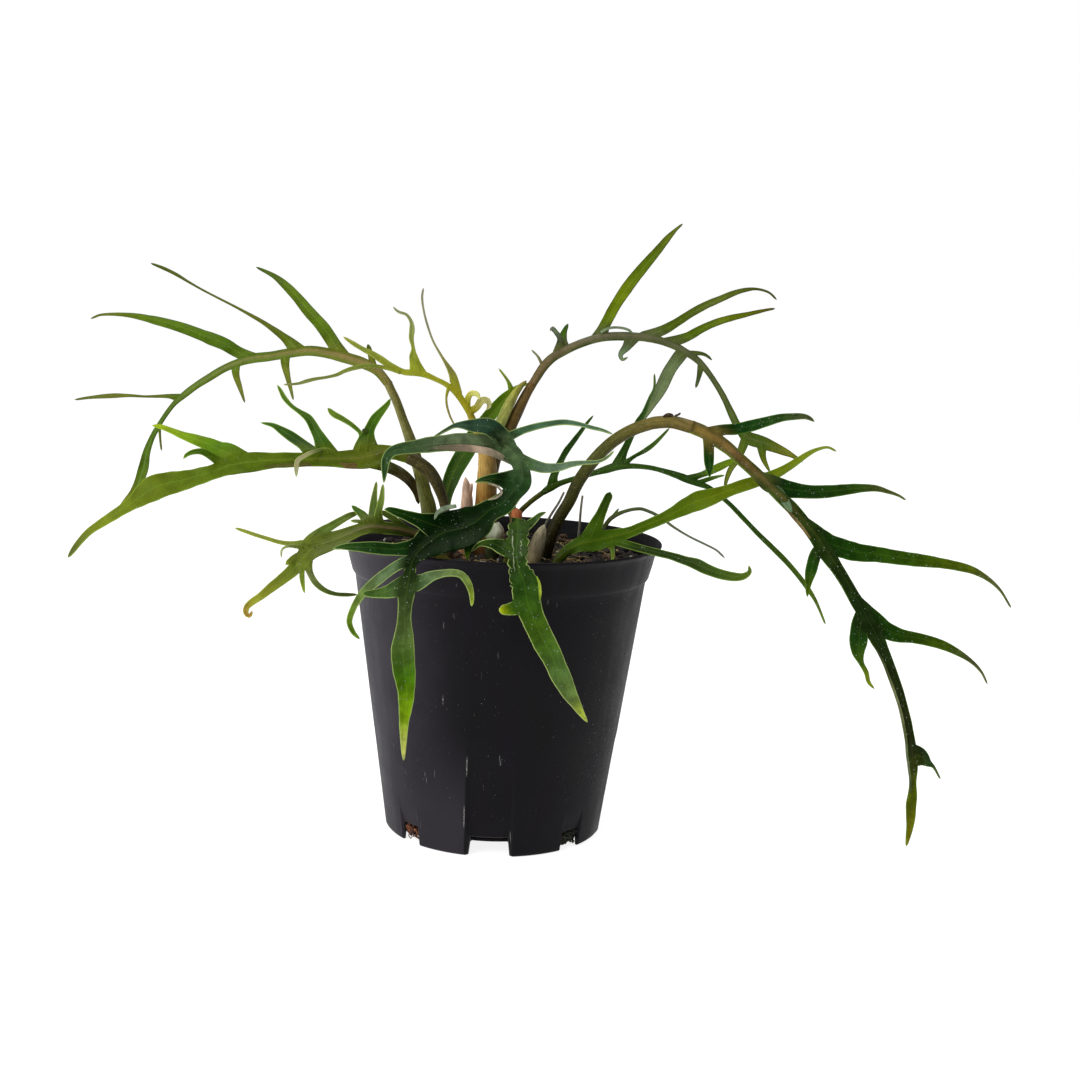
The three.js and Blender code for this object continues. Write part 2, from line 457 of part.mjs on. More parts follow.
// Leaf G, the long dark arch that droops to the right.
const leafG = {
  name: 'leaf_g',
  lean: [0.15, 0.5],
  thick: 2.6,
  stalk: [[15.5, 95, -13, 4.4], [17.3, 107, -14, 4.3], [20.5, 117, -15, 4.1], [24.2, 124.5, -17, 4],
    [28, 133.5, -19, 3.9], [33.8, 142.8, -21, 3.8], [41.8, 149.8, -23, 3.6], [51, 155, -25, 3.5],
    [60.5, 157, -27, 3.4], [70, 154.8, -29, 3.2]],
  rib: [[70, 154.8, -29, 3.2], [74.7, 152.7, -30, 3.6], [82.5, 146.2, -31, 3.3], [86.5, 143, -32, 3.2],
    [91.3, 138.9, -33, 3.2], [96.2, 134.9, -34, 3.3], [100.4, 131.5, -35, 3.8], [104.4, 128.4, -36, 4.4],
    [108.6, 124.7, -37, 4.6], [112.8, 120.1, -38, 4.7], [117.3, 115, -38, 5.2], [121.8, 109, -39, 5.8],
    [126.2, 103.2, -40, 5], [130, 97.8, -41, 4.6], [133.3, 92.6, -41, 4.6], [136.5, 87.8, -42, 5],
    [139.3, 83, -42, 5.8], [142.6, 77.8, -43, 5.8], [145.4, 73, -43, 4.8], [148, 68.2, -44, 4.1],
    [150.6, 62.2, -45, 3.8], [153.2, 56, -46, 3.7], [155.4, 50, -46, 3.5], [157.2, 44, -47, 3.5],
    [158.8, 37.5, -48, 3.7], [159.8, 31.7, -48, 4.6], [160.6, 26, -49, 3.9], [161, 20.5, -49, 2.8],
    [161.2, 16, -50, 3.6], [161, 11.8, -50, 4.3], [161.2, 7.5, -50, 3.9], [161.2, 3.3, -50, 2.9],
    [160.8, -1, -50, 2], [160.4, -5, -50, 0.8]],
  lobes: [
    { points: [[75.5, 152, 5], [80.5, 153.4, 4.2], [85.5, 153.9, 4.4], [91, 155.3, 4.2],
      [96.4, 157, 3.8], [102, 158.7, 3.1], [106.5, 159.3, 2.6], [110.3, 159.5, 2], [112.6, 158.9, 1.5],
      [114.4, 157.7, 0.7]], out: 8 },
    { points: [[75.3, 152.2, 4.6], [75.7, 148, 4.2], [76, 143.5, 4], [76.3, 139.5, 3],
      [76.7, 135.6, 0.9]], out: -5 },
    { points: [[94, 137, 4], [98.8, 134.4, 6.6], [104, 132.6, 6.8], [109.5, 131.8, 5.8], [115, 131.5, 5.3],
      [121.3, 131.9, 4.9], [127.5, 132.8, 4.1], [133.6, 133.6, 3.2], [139, 133.7, 2.4],
      [143.7, 132.6, 1.6], [147.7, 131.3, 1], [150.5, 129.7, 0.7]], out: 10 },
    { points: [[112, 121, 4], [117.6, 116, 6], [122.6, 112.4, 7.4], [128, 110.6, 7.4],
      [133.8, 109.3, 6.8], [141, 108.8, 6], [148, 108, 5.6], [155.3, 107.3, 5],
      [162.3, 106.7, 4.4], [169.5, 105.8, 3.7], [176.7, 104.3, 2.9],
      [181.5, 102.2, 2.2], [185.6, 99.5, 1.5], [189, 96.2, 1], [193, 90.3, 0.7]], out: 9 },
    { points: [[133.2, 92.8, 4], [137, 88, 6], [141.4, 83.6, 7.2], [146, 80.2, 6.6],
      [151.3, 78.2, 5.5], [157, 77.5, 4.6], [162.6, 76.5, 4.2], [168.2, 75, 3.7], [174, 72.5, 2.6],
      [179.8, 69, 1.6], [183.8, 65.2, 1], [186.5, 60.5, 0.7]],
    out: 6 },
    { points: [[119.8, 111.6, 3], [117.9, 107.5, 4.4], [116.7, 101.6, 4.4], [116.1, 97.6, 3],
      [115.9, 94, 1.6], [116, 91.6, 0.7]], out: -6 },
    { points: [[137.4, 86.4, 4], [136.6, 82, 6.4], [136.3, 78.6, 7], [136.4, 75, 7.2], [136.6, 71, 5],
      [138, 67, 2.2], [140.2, 63.2, 1.8], [141.3, 59.7, 1.5], [143.7, 57, 0.7]], out: -7 },
    { points: [[159.8, 32.4, 7], [163.4, 30.9, 6.6], [166.3, 28.6, 3.2], [168.5, 27.2, 1.3],
      [171.5, 22.4, 0.7]], out: 3 },
  ],
};

// Leaf H, the lime one over the rim at the front right, behind leaf G.
const leafH = {
  name: 'leaf_h',
  lean: [0.1, 0.5],
  stalk: [[18.4, 94, -29, 3.2], [21.3, 102, -29, 3.6], [25, 106.2, -29, 4.2]],
  rib: [[25, 106.2, -29, 4.2], [29.6, 108.6, -29, 6.2], [34, 109.8, -28, 7.8], [38.5, 110.8, -27, 7],
    [43, 112.2, -26, 5.6], [48.3, 114, -25, 4.3], [53.6, 116.5, -24, 4], [59, 119, -23, 4.2],
    [63.6, 121.5, -23, 5], [68.4, 124.3, -22, 6.5], [73, 126.6, -22, 7.2], [77.8, 128.3, -22, 6.4],
    [83, 130.4, -21, 5], [88.4, 132.6, -21, 4.8], [94.8, 134.9, -21, 4.2], [101.3, 137.8, -20, 3.8],
    [105.3, 140.2, -20, 3.2], [109.2, 143, -20, 2.6], [113, 145.8, -20, 1.9], [116.2, 147.5, -20, 1.3],
    [120, 148.4, -20, 0.9], [123.3, 147, -20, 0.7]],
  lobes: [
    { points: [[33, 110.5, 9], [34.8, 115.5, 5.4], [36.8, 120.5, 4], [38.3, 124.5, 3.4],
      [39.4, 127.2, 3.1], [39.8, 128.7, 2]], out: 6 },
    { points: [[41, 111.2, 2.6], [41.6, 107.3, 1.8], [41.9, 104.3, 1.4], [41.7, 102, 0.8]], out: -8 },
    { points: [[40, 111, 5], [44.5, 109.8, 3.4], [48.6, 108.7, 3], [54, 107.4, 3], [58.7, 106.4, 3],
      [64, 105.3, 3.1], [68.8, 103.9, 3.4], [73.5, 102.6, 4.3], [77, 101, 4.2], [82.3, 99.2, 3.9],
      [87.7, 98.3, 3.6], [91.4, 98.6, 2.8], [93.6, 100.4, 1.8], [93.2, 102.8, 0.8]], out: -22 },
  ],
};

// Leaf I, the thin one at the middle right.
const leafI = {
  name: 'leaf_i',
  lean: [0.1, 0.4],
  thick: 1.5,
  stalk: [[3.5, 96, 17, 2.2], [4.5, 110, 17, 2.2], [6, 119, 17, 2], [9.8, 123.5, 17, 1.9],
    [14.3, 127.2, 17, 2]],
  rib: [[14.3, 127.2, 17, 2], [17.6, 129.6, 17, 3], [21, 131.3, 16, 2.1], [25, 132.8, 15, 1.9],
    [29.5, 134.3, 14, 1.9], [33.8, 135.7, 13, 2.2], [38.3, 137.2, 12, 3], [42.2, 138.5, 11, 3.2],
    [46.2, 138.7, 10, 2.2], [50.8, 138.7, 9, 1.9], [55.5, 138.2, 8, 1.9], [60.7, 137, 7, 2.1],
    [64.8, 135.8, 6, 2.6], [68.8, 134.4, 5, 2.9], [73.3, 132.9, 4, 2.4], [77.3, 131.4, 3, 1.8],
    [84.5, 126, 2, 1.7], [90.2, 120.6, 1, 1.8], [96, 115, 0, 1.9], [101.8, 109.8, 0, 2],
    [107, 105, 0, 2], [112, 99.7, 0, 2], [116.2, 94.5, 0, 1.8], [119.3, 90, 0, 1.3],
    [123.5, 81.3, 0, 0.7]],
  lobes: [
    { points: [[17.8, 129.6, 4], [18.6, 134, 3], [20.4, 138.3, 2.6], [22.6, 143, 2.4],
      [25.3, 147, 2], [28.2, 151.2, 1.6], [30.3, 154.3, 1.2], [32.4, 157, 0.7]], out: 5 },
    { points: [[42, 138.5, 5], [43.9, 143.2, 3.4], [45.6, 147.2, 2.6], [47, 150.5, 2.3],
      [49, 155.2, 2.1], [51.2, 159, 1.8], [53, 164.3, 1.2], [54.5, 168, 1], [54.3, 173.3, 0.7]],
    out: 2 },
    { points: [[43.5, 138.8, 2.6], [48.2, 142.3, 1.5], [52.3, 144.8, 1.8], [55.7, 147.6, 1.6],
      [60.8, 153.3, 0.7]], out: -4 },
    { points: [[68, 134.6, 3], [73.5, 136.4, 2.2], [77.5, 138.3, 3], [81.6, 140.4, 2.9],
      [85, 142.2, 1.9], [87, 143.3, 0.8]], out: 3 },
    { points: [[72, 133.2, 2], [76.2, 134.8, 1.7], [80.2, 136.1, 1], [82.2, 136.6, 0.7]], out: -5 },
  ],
};

// Leaf J, the young lime one in the middle, in front of leaf A.
const leafJ = {
  name: 'leaf_j',
  lean: [0, 0.35],
  thick: 1.6,
  stalk: [[-8.8, 146, 0, 3.7], [-11.6, 152, 0, 3], [-13.6, 156.5, 0, 2.5]],
  rib: [[-13.6, 156.5, 0, 2.5], [-15.8, 159.8, 0, 2.4], [-18.6, 163.6, 0, 2.6], [-22.5, 166.5, 0, 2],
    [-26.5, 168.3, 0, 1.8], [-30.4, 169.8, 0, 2.2], [-34.5, 170.4, 0, 2.5], [-38.4, 170.5, 0, 2.3],
    [-43, 172.5, 0, 2.5], [-46.5, 174.6, 0, 2.5], [-49.8, 176.6, 0, 2.2], [-53.7, 178.4, 0, 1.8],
    [-57.5, 180.5, 0, 1.6], [-60.9, 182.6, 0, 0.7]],
  lobes: [
    { points: [[-39.5, 170.8, 2.6], [-43.5, 171.5, 1.6], [-48, 172.2, 1.5], [-52.5, 172.2, 1.6],
      [-57, 171.2, 1.6], [-60.3, 170, 1.4], [-63, 168.6, 1.3], [-67, 167.5, 1.1], [-70.8, 166.8, 1.2],
      [-74, 165.9, 1.4], [-77.4, 164.8, 1], [-82.7, 164.2, 0.7]], out: -6 },
    { points: [[-32.5, 170, 6], [-34.2, 174, 4], [-34.9, 176.6, 3], [-35, 179.2, 1.4],
      [-35.8, 183, 1.8], [-35.6, 186.3, 2], [-36, 189, 1.4], [-37.8, 191.5, 1.1], [-40.4, 192.3, 1],
      [-41.8, 193.2, 0.8], [-42.7, 194.2, 0.7]], out: 5 },
    { points: [[-18.4, 163.4, 4.4], [-20, 169.5, 3], [-21.8, 172.8, 1.8], [-24.3, 176.5, 0.9],
      [-27.8, 182.3, 0.75], [-30, 188, 0.75], [-31.5, 193.3, 0.75], [-32.2, 198, 0.8],
      [-31.8, 201.4, 0.7]], out: 6 },
    { points: [[-21.5, 165.7, 1.6], [-22.3, 162, 0.9], [-22, 158.7, 0.8], [-20.7, 154.7, 0.75],
      [-19, 151.5, 0.7]], out: -3 },
    { points: [[-14.6, 158, 3], [-14.3, 161.6, 2.4], [-13.1, 163.5, 2.2], [-11, 163.3, 2],
      [-9.9, 161.4, 1]], out: -4 },
    { points: [[-13.5, 156.8, 3], [-11, 158.4, 2.6], [-9.4, 160.8, 2.8], [-7.3, 161.2, 2.4],
      [-6.3, 159.4, 1.8], [-7.3, 157.6, 1]], out: 1 },
  ],
};

// Leaf K, the short one that hangs over the rim at the front.
const leafK = {
  name: 'leaf_k',
  lean: [-0.15, 0.4],
  stalk: [[1.5, 94, -22, 3], [2.6, 104, -23, 3], [4, 111, -26, 3], [5, 115, -30, 3.2]],
  rib: [[5, 115, -30, 3.2], [5.6, 116.6, -36, 4.8], [5.8, 114, -43, 7.2], [5.9, 109.5, -50, 8.4],
    [5.8, 104.8, -57, 7.6], [6.2, 100.6, -62, 7.2], [7.2, 97, -64.5, 7.8], [8.8, 93.6, -66, 9.8],
    [9.6, 89.6, -67, 10.8], [10.4, 85.6, -68, 10.4], [12.2, 80.8, -68.5, 9.4], [14.6, 75.8, -69, 8.8],
    [17.6, 70, -69.5, 8.8], [20.6, 64.8, -70, 8.5], [23, 59.7, -70, 8], [25.3, 55.3, -70, 7.1],
    [27.6, 51, -70, 5.7], [30, 47.3, -70, 4.3], [32.2, 43.8, -70, 2.8], [35, 39.8, -70, 0.8]],
  lobes: [
    { points: [[9.6, 85.5, 8], [5.6, 83.2, 5.4], [2.4, 82.5, 4.3], [-0.2, 82.4, 3.4]], out: -2 },
    { points: [[9.5, 91, 8], [13, 91.6, 6.4], [15.2, 91.6, 4.6]], out: -2 },
    { points: [[5.8, 105, 7], [1, 106.2, 6.4], [-3.7, 107.5, 4], [-8.3, 107.2, 2], [-11.4, 104.3, 1]],
    out: 5 },
    { points: [[5.9, 111, 5], [9, 114.4, 3.8], [11.8, 117, 2.6], [14, 119.2, 1.7],
      [16.2, 120.2, 0.8]], out: 9 },
  ],
};

// Leaf L, the plain dark blade behind the middle.
const leafL = {
  name: 'leaf_l',
  lean: [-0.4, 0.2],
  thick: 1.4,
  stalk: [[-20, 96, 14, 3], [-21, 108, 14.5, 3], [-21.8, 118, 15, 3]],
  rib: [[-21.8, 118, 15, 3], [-21.1, 126, 16, 4.6], [-18.7, 134, 17, 6.4], [-15.1, 141, 18, 6.8],
    [-11.8, 147.4, 19, 6], [-8.3, 152.6, 20, 5.2], [-4.6, 157.4, 21, 4.8], [-1.2, 161.6, 22, 4],
    [2.3, 165, 23, 2.6], [5.6, 167.2, 24, 1.5], [8, 168, 24, 0.8]],
  lobes: [
    { points: [[1.8, 164.6, 2.6], [0.4, 168.4, 1.3], [-3.2, 173, 0.7]], out: 4 },
  ],
};

// Leaf M, a thread-thin leaf behind on the right.
const leafM = {
  name: 'leaf_m',
  lean: [0, 0.4],
  thick: 1,
  stalk: [[34, 97, 12, 1.8], [35.6, 108, 12, 1.8], [38.2, 115.5, 12, 1.6]],
  rib: [[38.2, 115.5, 12, 1.6], [40.8, 119, 12, 1.7], [45.3, 121.5, 12, 1.4], [51.2, 122.8, 12, 1.3],
    [55.3, 121.7, 12, 1.2], [59.3, 119.8, 12, 1.1], [64.2, 116.4, 12, 0.9], [70.3, 113, 12, 0.8],
    [77, 110, 12, 0.8], [81, 108, 12, 0.8], [84, 105.3, 12, 0.7]],
  lobes: [
    { points: [[40.6, 118.8, 1.2], [43.4, 122.6, 0.8]], out: 2 },
  ],
};

// Short stalks that rise from the soil: the main stem, sheaths, a cut stub and dry threads.
const STEM_SIDES = 12;
const shoots = {
  stem: [[-6.6, 92, 0, 8.4], [-6.5, 110, 0, 8.2], [-6.3, 128, 0, 7.8], [-6.6, 140, 0, 6.6],
    [-8.6, 145.6, 0, 4.2]],
  sheath: [[-14.4, 95, -2, 4], [-14, 110, -2, 4.6], [-13.6, 122, -2, 4.6], [-13.9, 129, -2, 3],
    [-14.4, 132.4, -2, 0.9]],
  stub: [[5.6, 94, -16, 3.6], [5.5, 106, -16, 4.6], [5.3, 116, -16, 5.2], [5.2, 121.4, -16, 4.8]],
  bract: [[-3.8, 94, -13, 2.2], [-3.2, 104, -13, 2.8], [-2.6, 108.5, -13, 6], [-2.2, 112, -13, 7],
    [-1.8, 114.4, -13, 5.4], [-1.4, 115.7, -13, 3]],
  cataphyll: [[14, 94, -23, 3.6], [14, 103.5, -23, 4.2], [13.4, 107, -23, 5.6], [13.6, 110.5, -23, 6.2],
    [14.4, 113.2, -23, 5.2], [14.9, 115.4, -23, 3.2]],
  thread_left: [[14, 97, 5, 1.2], [15.3, 113, 5, 1.1], [17.8, 118.8, 5, 1], [20.8, 124, 5, 0.9],
    [22.6, 128, 5, 0.8]],
  thread_right: [[28, 97, 3, 1.1], [28.9, 115, 3, 1], [29.2, 122, 3, 0.9], [29.6, 127, 3, 0.8]],
};

const LEAVES = [leafA, leafB, leafC, leafD, leafF, leafG, leafH, leafI, leafJ, leafK, leafL, leafM];
const ROOTED = LEAVES.filter((leaf) => leaf !== leafJ);
const STALK_SIDES = 8;

// Cut the first `gap` mm off a rib, so that it meets its stalk face to face.
function startedLater(points, gap) {
  const curve = smoothCurve(points);
  return [curve.evaluate(gap), ...points.slice(1)];
}

function stalkLine(points) {
  return samples(points, Math.max(4, Math.round(smoothCurve(points).length / STALK_STEP)));
}

function bladeOf(leaf) {
  const later = { ...leaf, rib: startedLater(leaf.rib, JOINT_GAP) };
  const whole = union([ribSolid(later), ...leaf.lobes.map((lobe) => lobeSolid(later, lobe))]);
  const cut = whole.subtract(stalkSolid(longer(stalkLine(leaf.stalk)), STALK_SIDES, JOINT_GAP));
  const bodies = cut.decompose().filter((body) => body.volume() > SCRAP);
  if (bodies.length !== 1) throw new Error(`${leaf.name} has a loose lobe`);
  return bodies[0];
}

// The outer radius of the pot's tapered body.
const outer = (z) => FOOT_RADIUS + (BODY_TOP_RADIUS - FOOT_RADIUS) * (z / BODY_TOP);

// The pot is turned from a closed outline, then its lower wall gets four shallow flutes.
function potSolid() {
  const floorTop = FLOOR_LIFT + FLOOR_THICKNESS;
  const outline = [
    [0, FLOOR_LIFT], [outer(0) - WALL, FLOOR_LIFT], [outer(0) - WALL, 0], [FOOT_RADIUS, 0],
    [outer(FLUTE_TOP), FLUTE_TOP], [BODY_TOP_RADIUS, BODY_TOP], ...LIP_OUTSIDE, ...LIP_INSIDE,
    [BODY_TOP_RADIUS - WALL, BODY_TOP], [outer(FLUTE_TOP) - WALL, FLUTE_TOP],
    [outer(floorTop) - WALL, floorTop], [0, floorTop],
  ];
  const lathe = new THREE.LatheGeometry(outline.map(([r, z]) => new THREE.Vector2(r, z)), POT_STEPS);
  lathe.rotateX(Math.PI / 2);
  const place = lathe.attributes.position;
  for (let i = 0; i < place.count; i += 1) {
    const x = place.getX(i);
    const y = place.getY(i);
    const z = place.getZ(i);
    const radius = Math.hypot(x, y);
    const quarter = Math.atan2(y, x) / (Math.PI / 2);
    const aside = Math.abs(quarter - Math.round(quarter)) * (Math.PI / 2) * radius;
    const low = THREE.MathUtils.clamp(1 - z / FLUTE_TOP, 0, 1);
    if (aside < WIDE_NOTCH / 2 + FLUTE_EDGE && radius > FOOT_RADIUS - WALL - FLUTE_EDGE) {
      const scale = (radius - FLUTE_DEPTH * Math.min(1, low * FLUTE_RUN_OUT)) / radius;
      place.setXY(i, x * scale, y * scale);
    }
  }
  let pot = solidOfGeometry(lathe);
  if (pot.volume() < 0) throw new Error('pot outline is turned inside out');
  for (let k = 0; k < NOTCHES; k += 1) {
    const half = (k % 2 === 0 ? WIDE_NOTCH : NARROW_NOTCH) / 2;
    const shape = new THREE.Shape();
    shape.moveTo(-half, -CUTTER_FOOT);
    shape.lineTo(half, -CUTTER_FOOT);
    shape.lineTo(half - NOTCH_DRAFT, NOTCH_HEIGHT);
    shape.lineTo(-half + NOTCH_DRAFT, NOTCH_HEIGHT);
    shape.closePath();
    const cutter = new THREE.ExtrudeGeometry(shape, { depth: CUTTER_LENGTH, bevelEnabled: false });
    cutter.rotateX(Math.PI / 2);
    cutter.translate(0, -CUTTER_NEAR, 0);
    cutter.rotateZ((k * 2 * Math.PI) / NOTCHES);
    pot = pot.subtract(solidOfGeometry(cutter));
  }
  return pot;
}

// Height of the soil's surface over the middle of the pot.
function soilHeight(x, y) {
  return SOIL_TOP + SOIL_RELIEF * (Math.sin(x * 0.21 + 1) * Math.cos(y * 0.19)
    + 0.5 * Math.sin(x * 0.47 - y * 0.39));
}

// The soil fills the pot up to a rough surface, with a plain hole round every stalk.
function soilSolid() {
  const bottom = FLOOR_LIFT + FLOOR_THICKNESS + SOIL_GAP;
  const wall = (z) => outer(z) - WALL - SOIL_GAP;
  const clear = FLUTE_DEPTH + FLUTE_CLEAR;
  const outline = [[0, bottom], [wall(bottom) - clear, bottom], [wall(FLUTE_TOP), FLUTE_TOP + FLUTE_END],
    [wall(BODY_TOP), BODY_TOP], [wall(BODY_TOP) + SOIL_FLARE, SOIL_TOP],
    ...SOIL_RINGS.map((radius) => [radius, SOIL_TOP])];
  const lathe = new THREE.LatheGeometry(outline.map(([r, z]) => new THREE.Vector2(r, z)), SOIL_STEPS);
  lathe.rotateX(Math.PI / 2);
  const place = lathe.attributes.position;
  for (let i = 0; i < place.count; i += 1) {
    if (place.getZ(i) > SOIL_TOP - 0.01) place.setZ(i, soilHeight(place.getX(i), place.getY(i)));
  }
  let soil = solidOfGeometry(lathe);
  ROOTED.forEach((leaf) => {
    soil = soil.subtract(stalkSolid(deeper(stalkLine(leaf.stalk)), STALK_SIDES, HOLE_GAP));
  });
  Object.entries(shoots).forEach(([name, points]) => {
    const sides = name === 'stem' ? STEM_SIDES : STALK_SIDES;
    soil = soil.subtract(stalkSolid(deeper(stalkLine(points)), sides, HOLE_GAP));
  });
  return soil;
}

// A line's end moved `gap` mm on, away from the point before it.
function movedOn(end, before, gap) {
  const share = gap / (Math.hypot(end[0] - before[0], end[1] - before[1], end[2] - before[2]));
  return end.map((value, k) => (k < 3 ? value + (value - before[k]) * share : value));
}

// The same stalk with its foot a little lower, which leaves a gap under it in its hole.
const deeper = (line) => [movedOn(line[0], line[1], HOLE_GAP), ...line];

// The same stalk with its end a little farther on.
const longer = (line) => [...line, movedOn(line[line.length - 1], line[line.length - 2], JOINT_GAP)];

const POT_BLACK = 0x262427;
const SOIL_BROWN = 0x4b3a26;
const STALK_BROWN = 0x74723a;
const LEAF_GREEN = 0x3f6f22;
const colours = {
  leaf_a: 0x4d7426,
  leaf_b: 0x4f8026,
  leaf_c: 0x5c8730,
  leaf_d: 0x1f4a2c,
  leaf_f: 0x557a2c,
  leaf_g: 0x22401f,
  leaf_h: 0x6f9112,
  leaf_j: 0xb1b636,
  leaf_k: 0x3f7a33,
};
const stalkColours = {
  leaf_a: 0x7f7444,
  leaf_b: 0x8a7350,
  leaf_d: 0x7b6a52,
  leaf_f: 0x8c6a44,
  leaf_g: 0x5c4630,
  leaf_j: 0xc08a2c,
};
const shootColours = {
  stem: 0xb28a35,
  sheath: 0xb78a6c,
  stub: 0xb4573a,
  bract: 0xb9b7a2,
  cataphyll: 0xa69a80,
  thread_left: 0x8b8777,
  thread_right: 0x8b8777,
};

const group = new THREE.Group();

function addPiece(name, solid, color, roughness) {
  const material = new THREE.MeshStandardMaterial({ color, roughness, metalness: 0 });
  const mesh = new THREE.Mesh(geometryOf(solid), material);
  mesh.name = name;
  group.add(mesh);
}

addPiece('pot', potSolid(), POT_BLACK, 0.5);
addPiece('soil', soilSolid(), SOIL_BROWN, 0.95);
Object.entries(shoots).forEach(([name, points]) => {
  const sides = name === 'stem' ? STEM_SIDES : STALK_SIDES;
  addPiece(name, stalkSolid(stalkLine(points), sides, 0), shootColours[name], 0.6);
});
LEAVES.forEach((leaf) => {
  const { name } = leaf;
  const stalk = stalkSolid(stalkLine(leaf.stalk), STALK_SIDES, 0);
  addPiece(`${name}_stalk`, stalk, stalkColours[name] ?? STALK_BROWN, 0.5);
  addPiece(`${name}_blade`, bladeOf(leaf), colours[name] ?? LEAF_GREEN, 0.4);
});

export default group;
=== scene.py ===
import math

import bpy
import numpy as np
from mathutils import Matrix


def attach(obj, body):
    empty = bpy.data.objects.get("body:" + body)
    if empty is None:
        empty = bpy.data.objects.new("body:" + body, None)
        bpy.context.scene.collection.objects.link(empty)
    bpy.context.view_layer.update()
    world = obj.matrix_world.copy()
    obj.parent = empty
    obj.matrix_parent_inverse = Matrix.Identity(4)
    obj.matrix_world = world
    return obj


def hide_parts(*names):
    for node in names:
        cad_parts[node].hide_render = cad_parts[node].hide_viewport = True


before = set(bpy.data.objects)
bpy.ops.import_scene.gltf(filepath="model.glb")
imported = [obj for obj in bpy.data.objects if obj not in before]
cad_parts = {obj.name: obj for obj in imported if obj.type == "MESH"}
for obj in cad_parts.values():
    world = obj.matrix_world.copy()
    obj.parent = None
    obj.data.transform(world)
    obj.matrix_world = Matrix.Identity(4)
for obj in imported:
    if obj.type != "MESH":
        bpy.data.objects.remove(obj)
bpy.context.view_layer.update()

# A potted philodendron: long arching leaves cut into narrow lobes, in a round black pot.
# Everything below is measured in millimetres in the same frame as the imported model,
# and turned into metres where a mesh is made.
MM = 0.001

# Each point of a stalk or rib is (x, z, depth, width), and each point of a lobe (x, z, width).
# x and z are where the line of sight from EYE meets the upright plane through the pot's axis,
# and depth counts away from the eye.
EYE = (14.3, -550.0, 191.5)
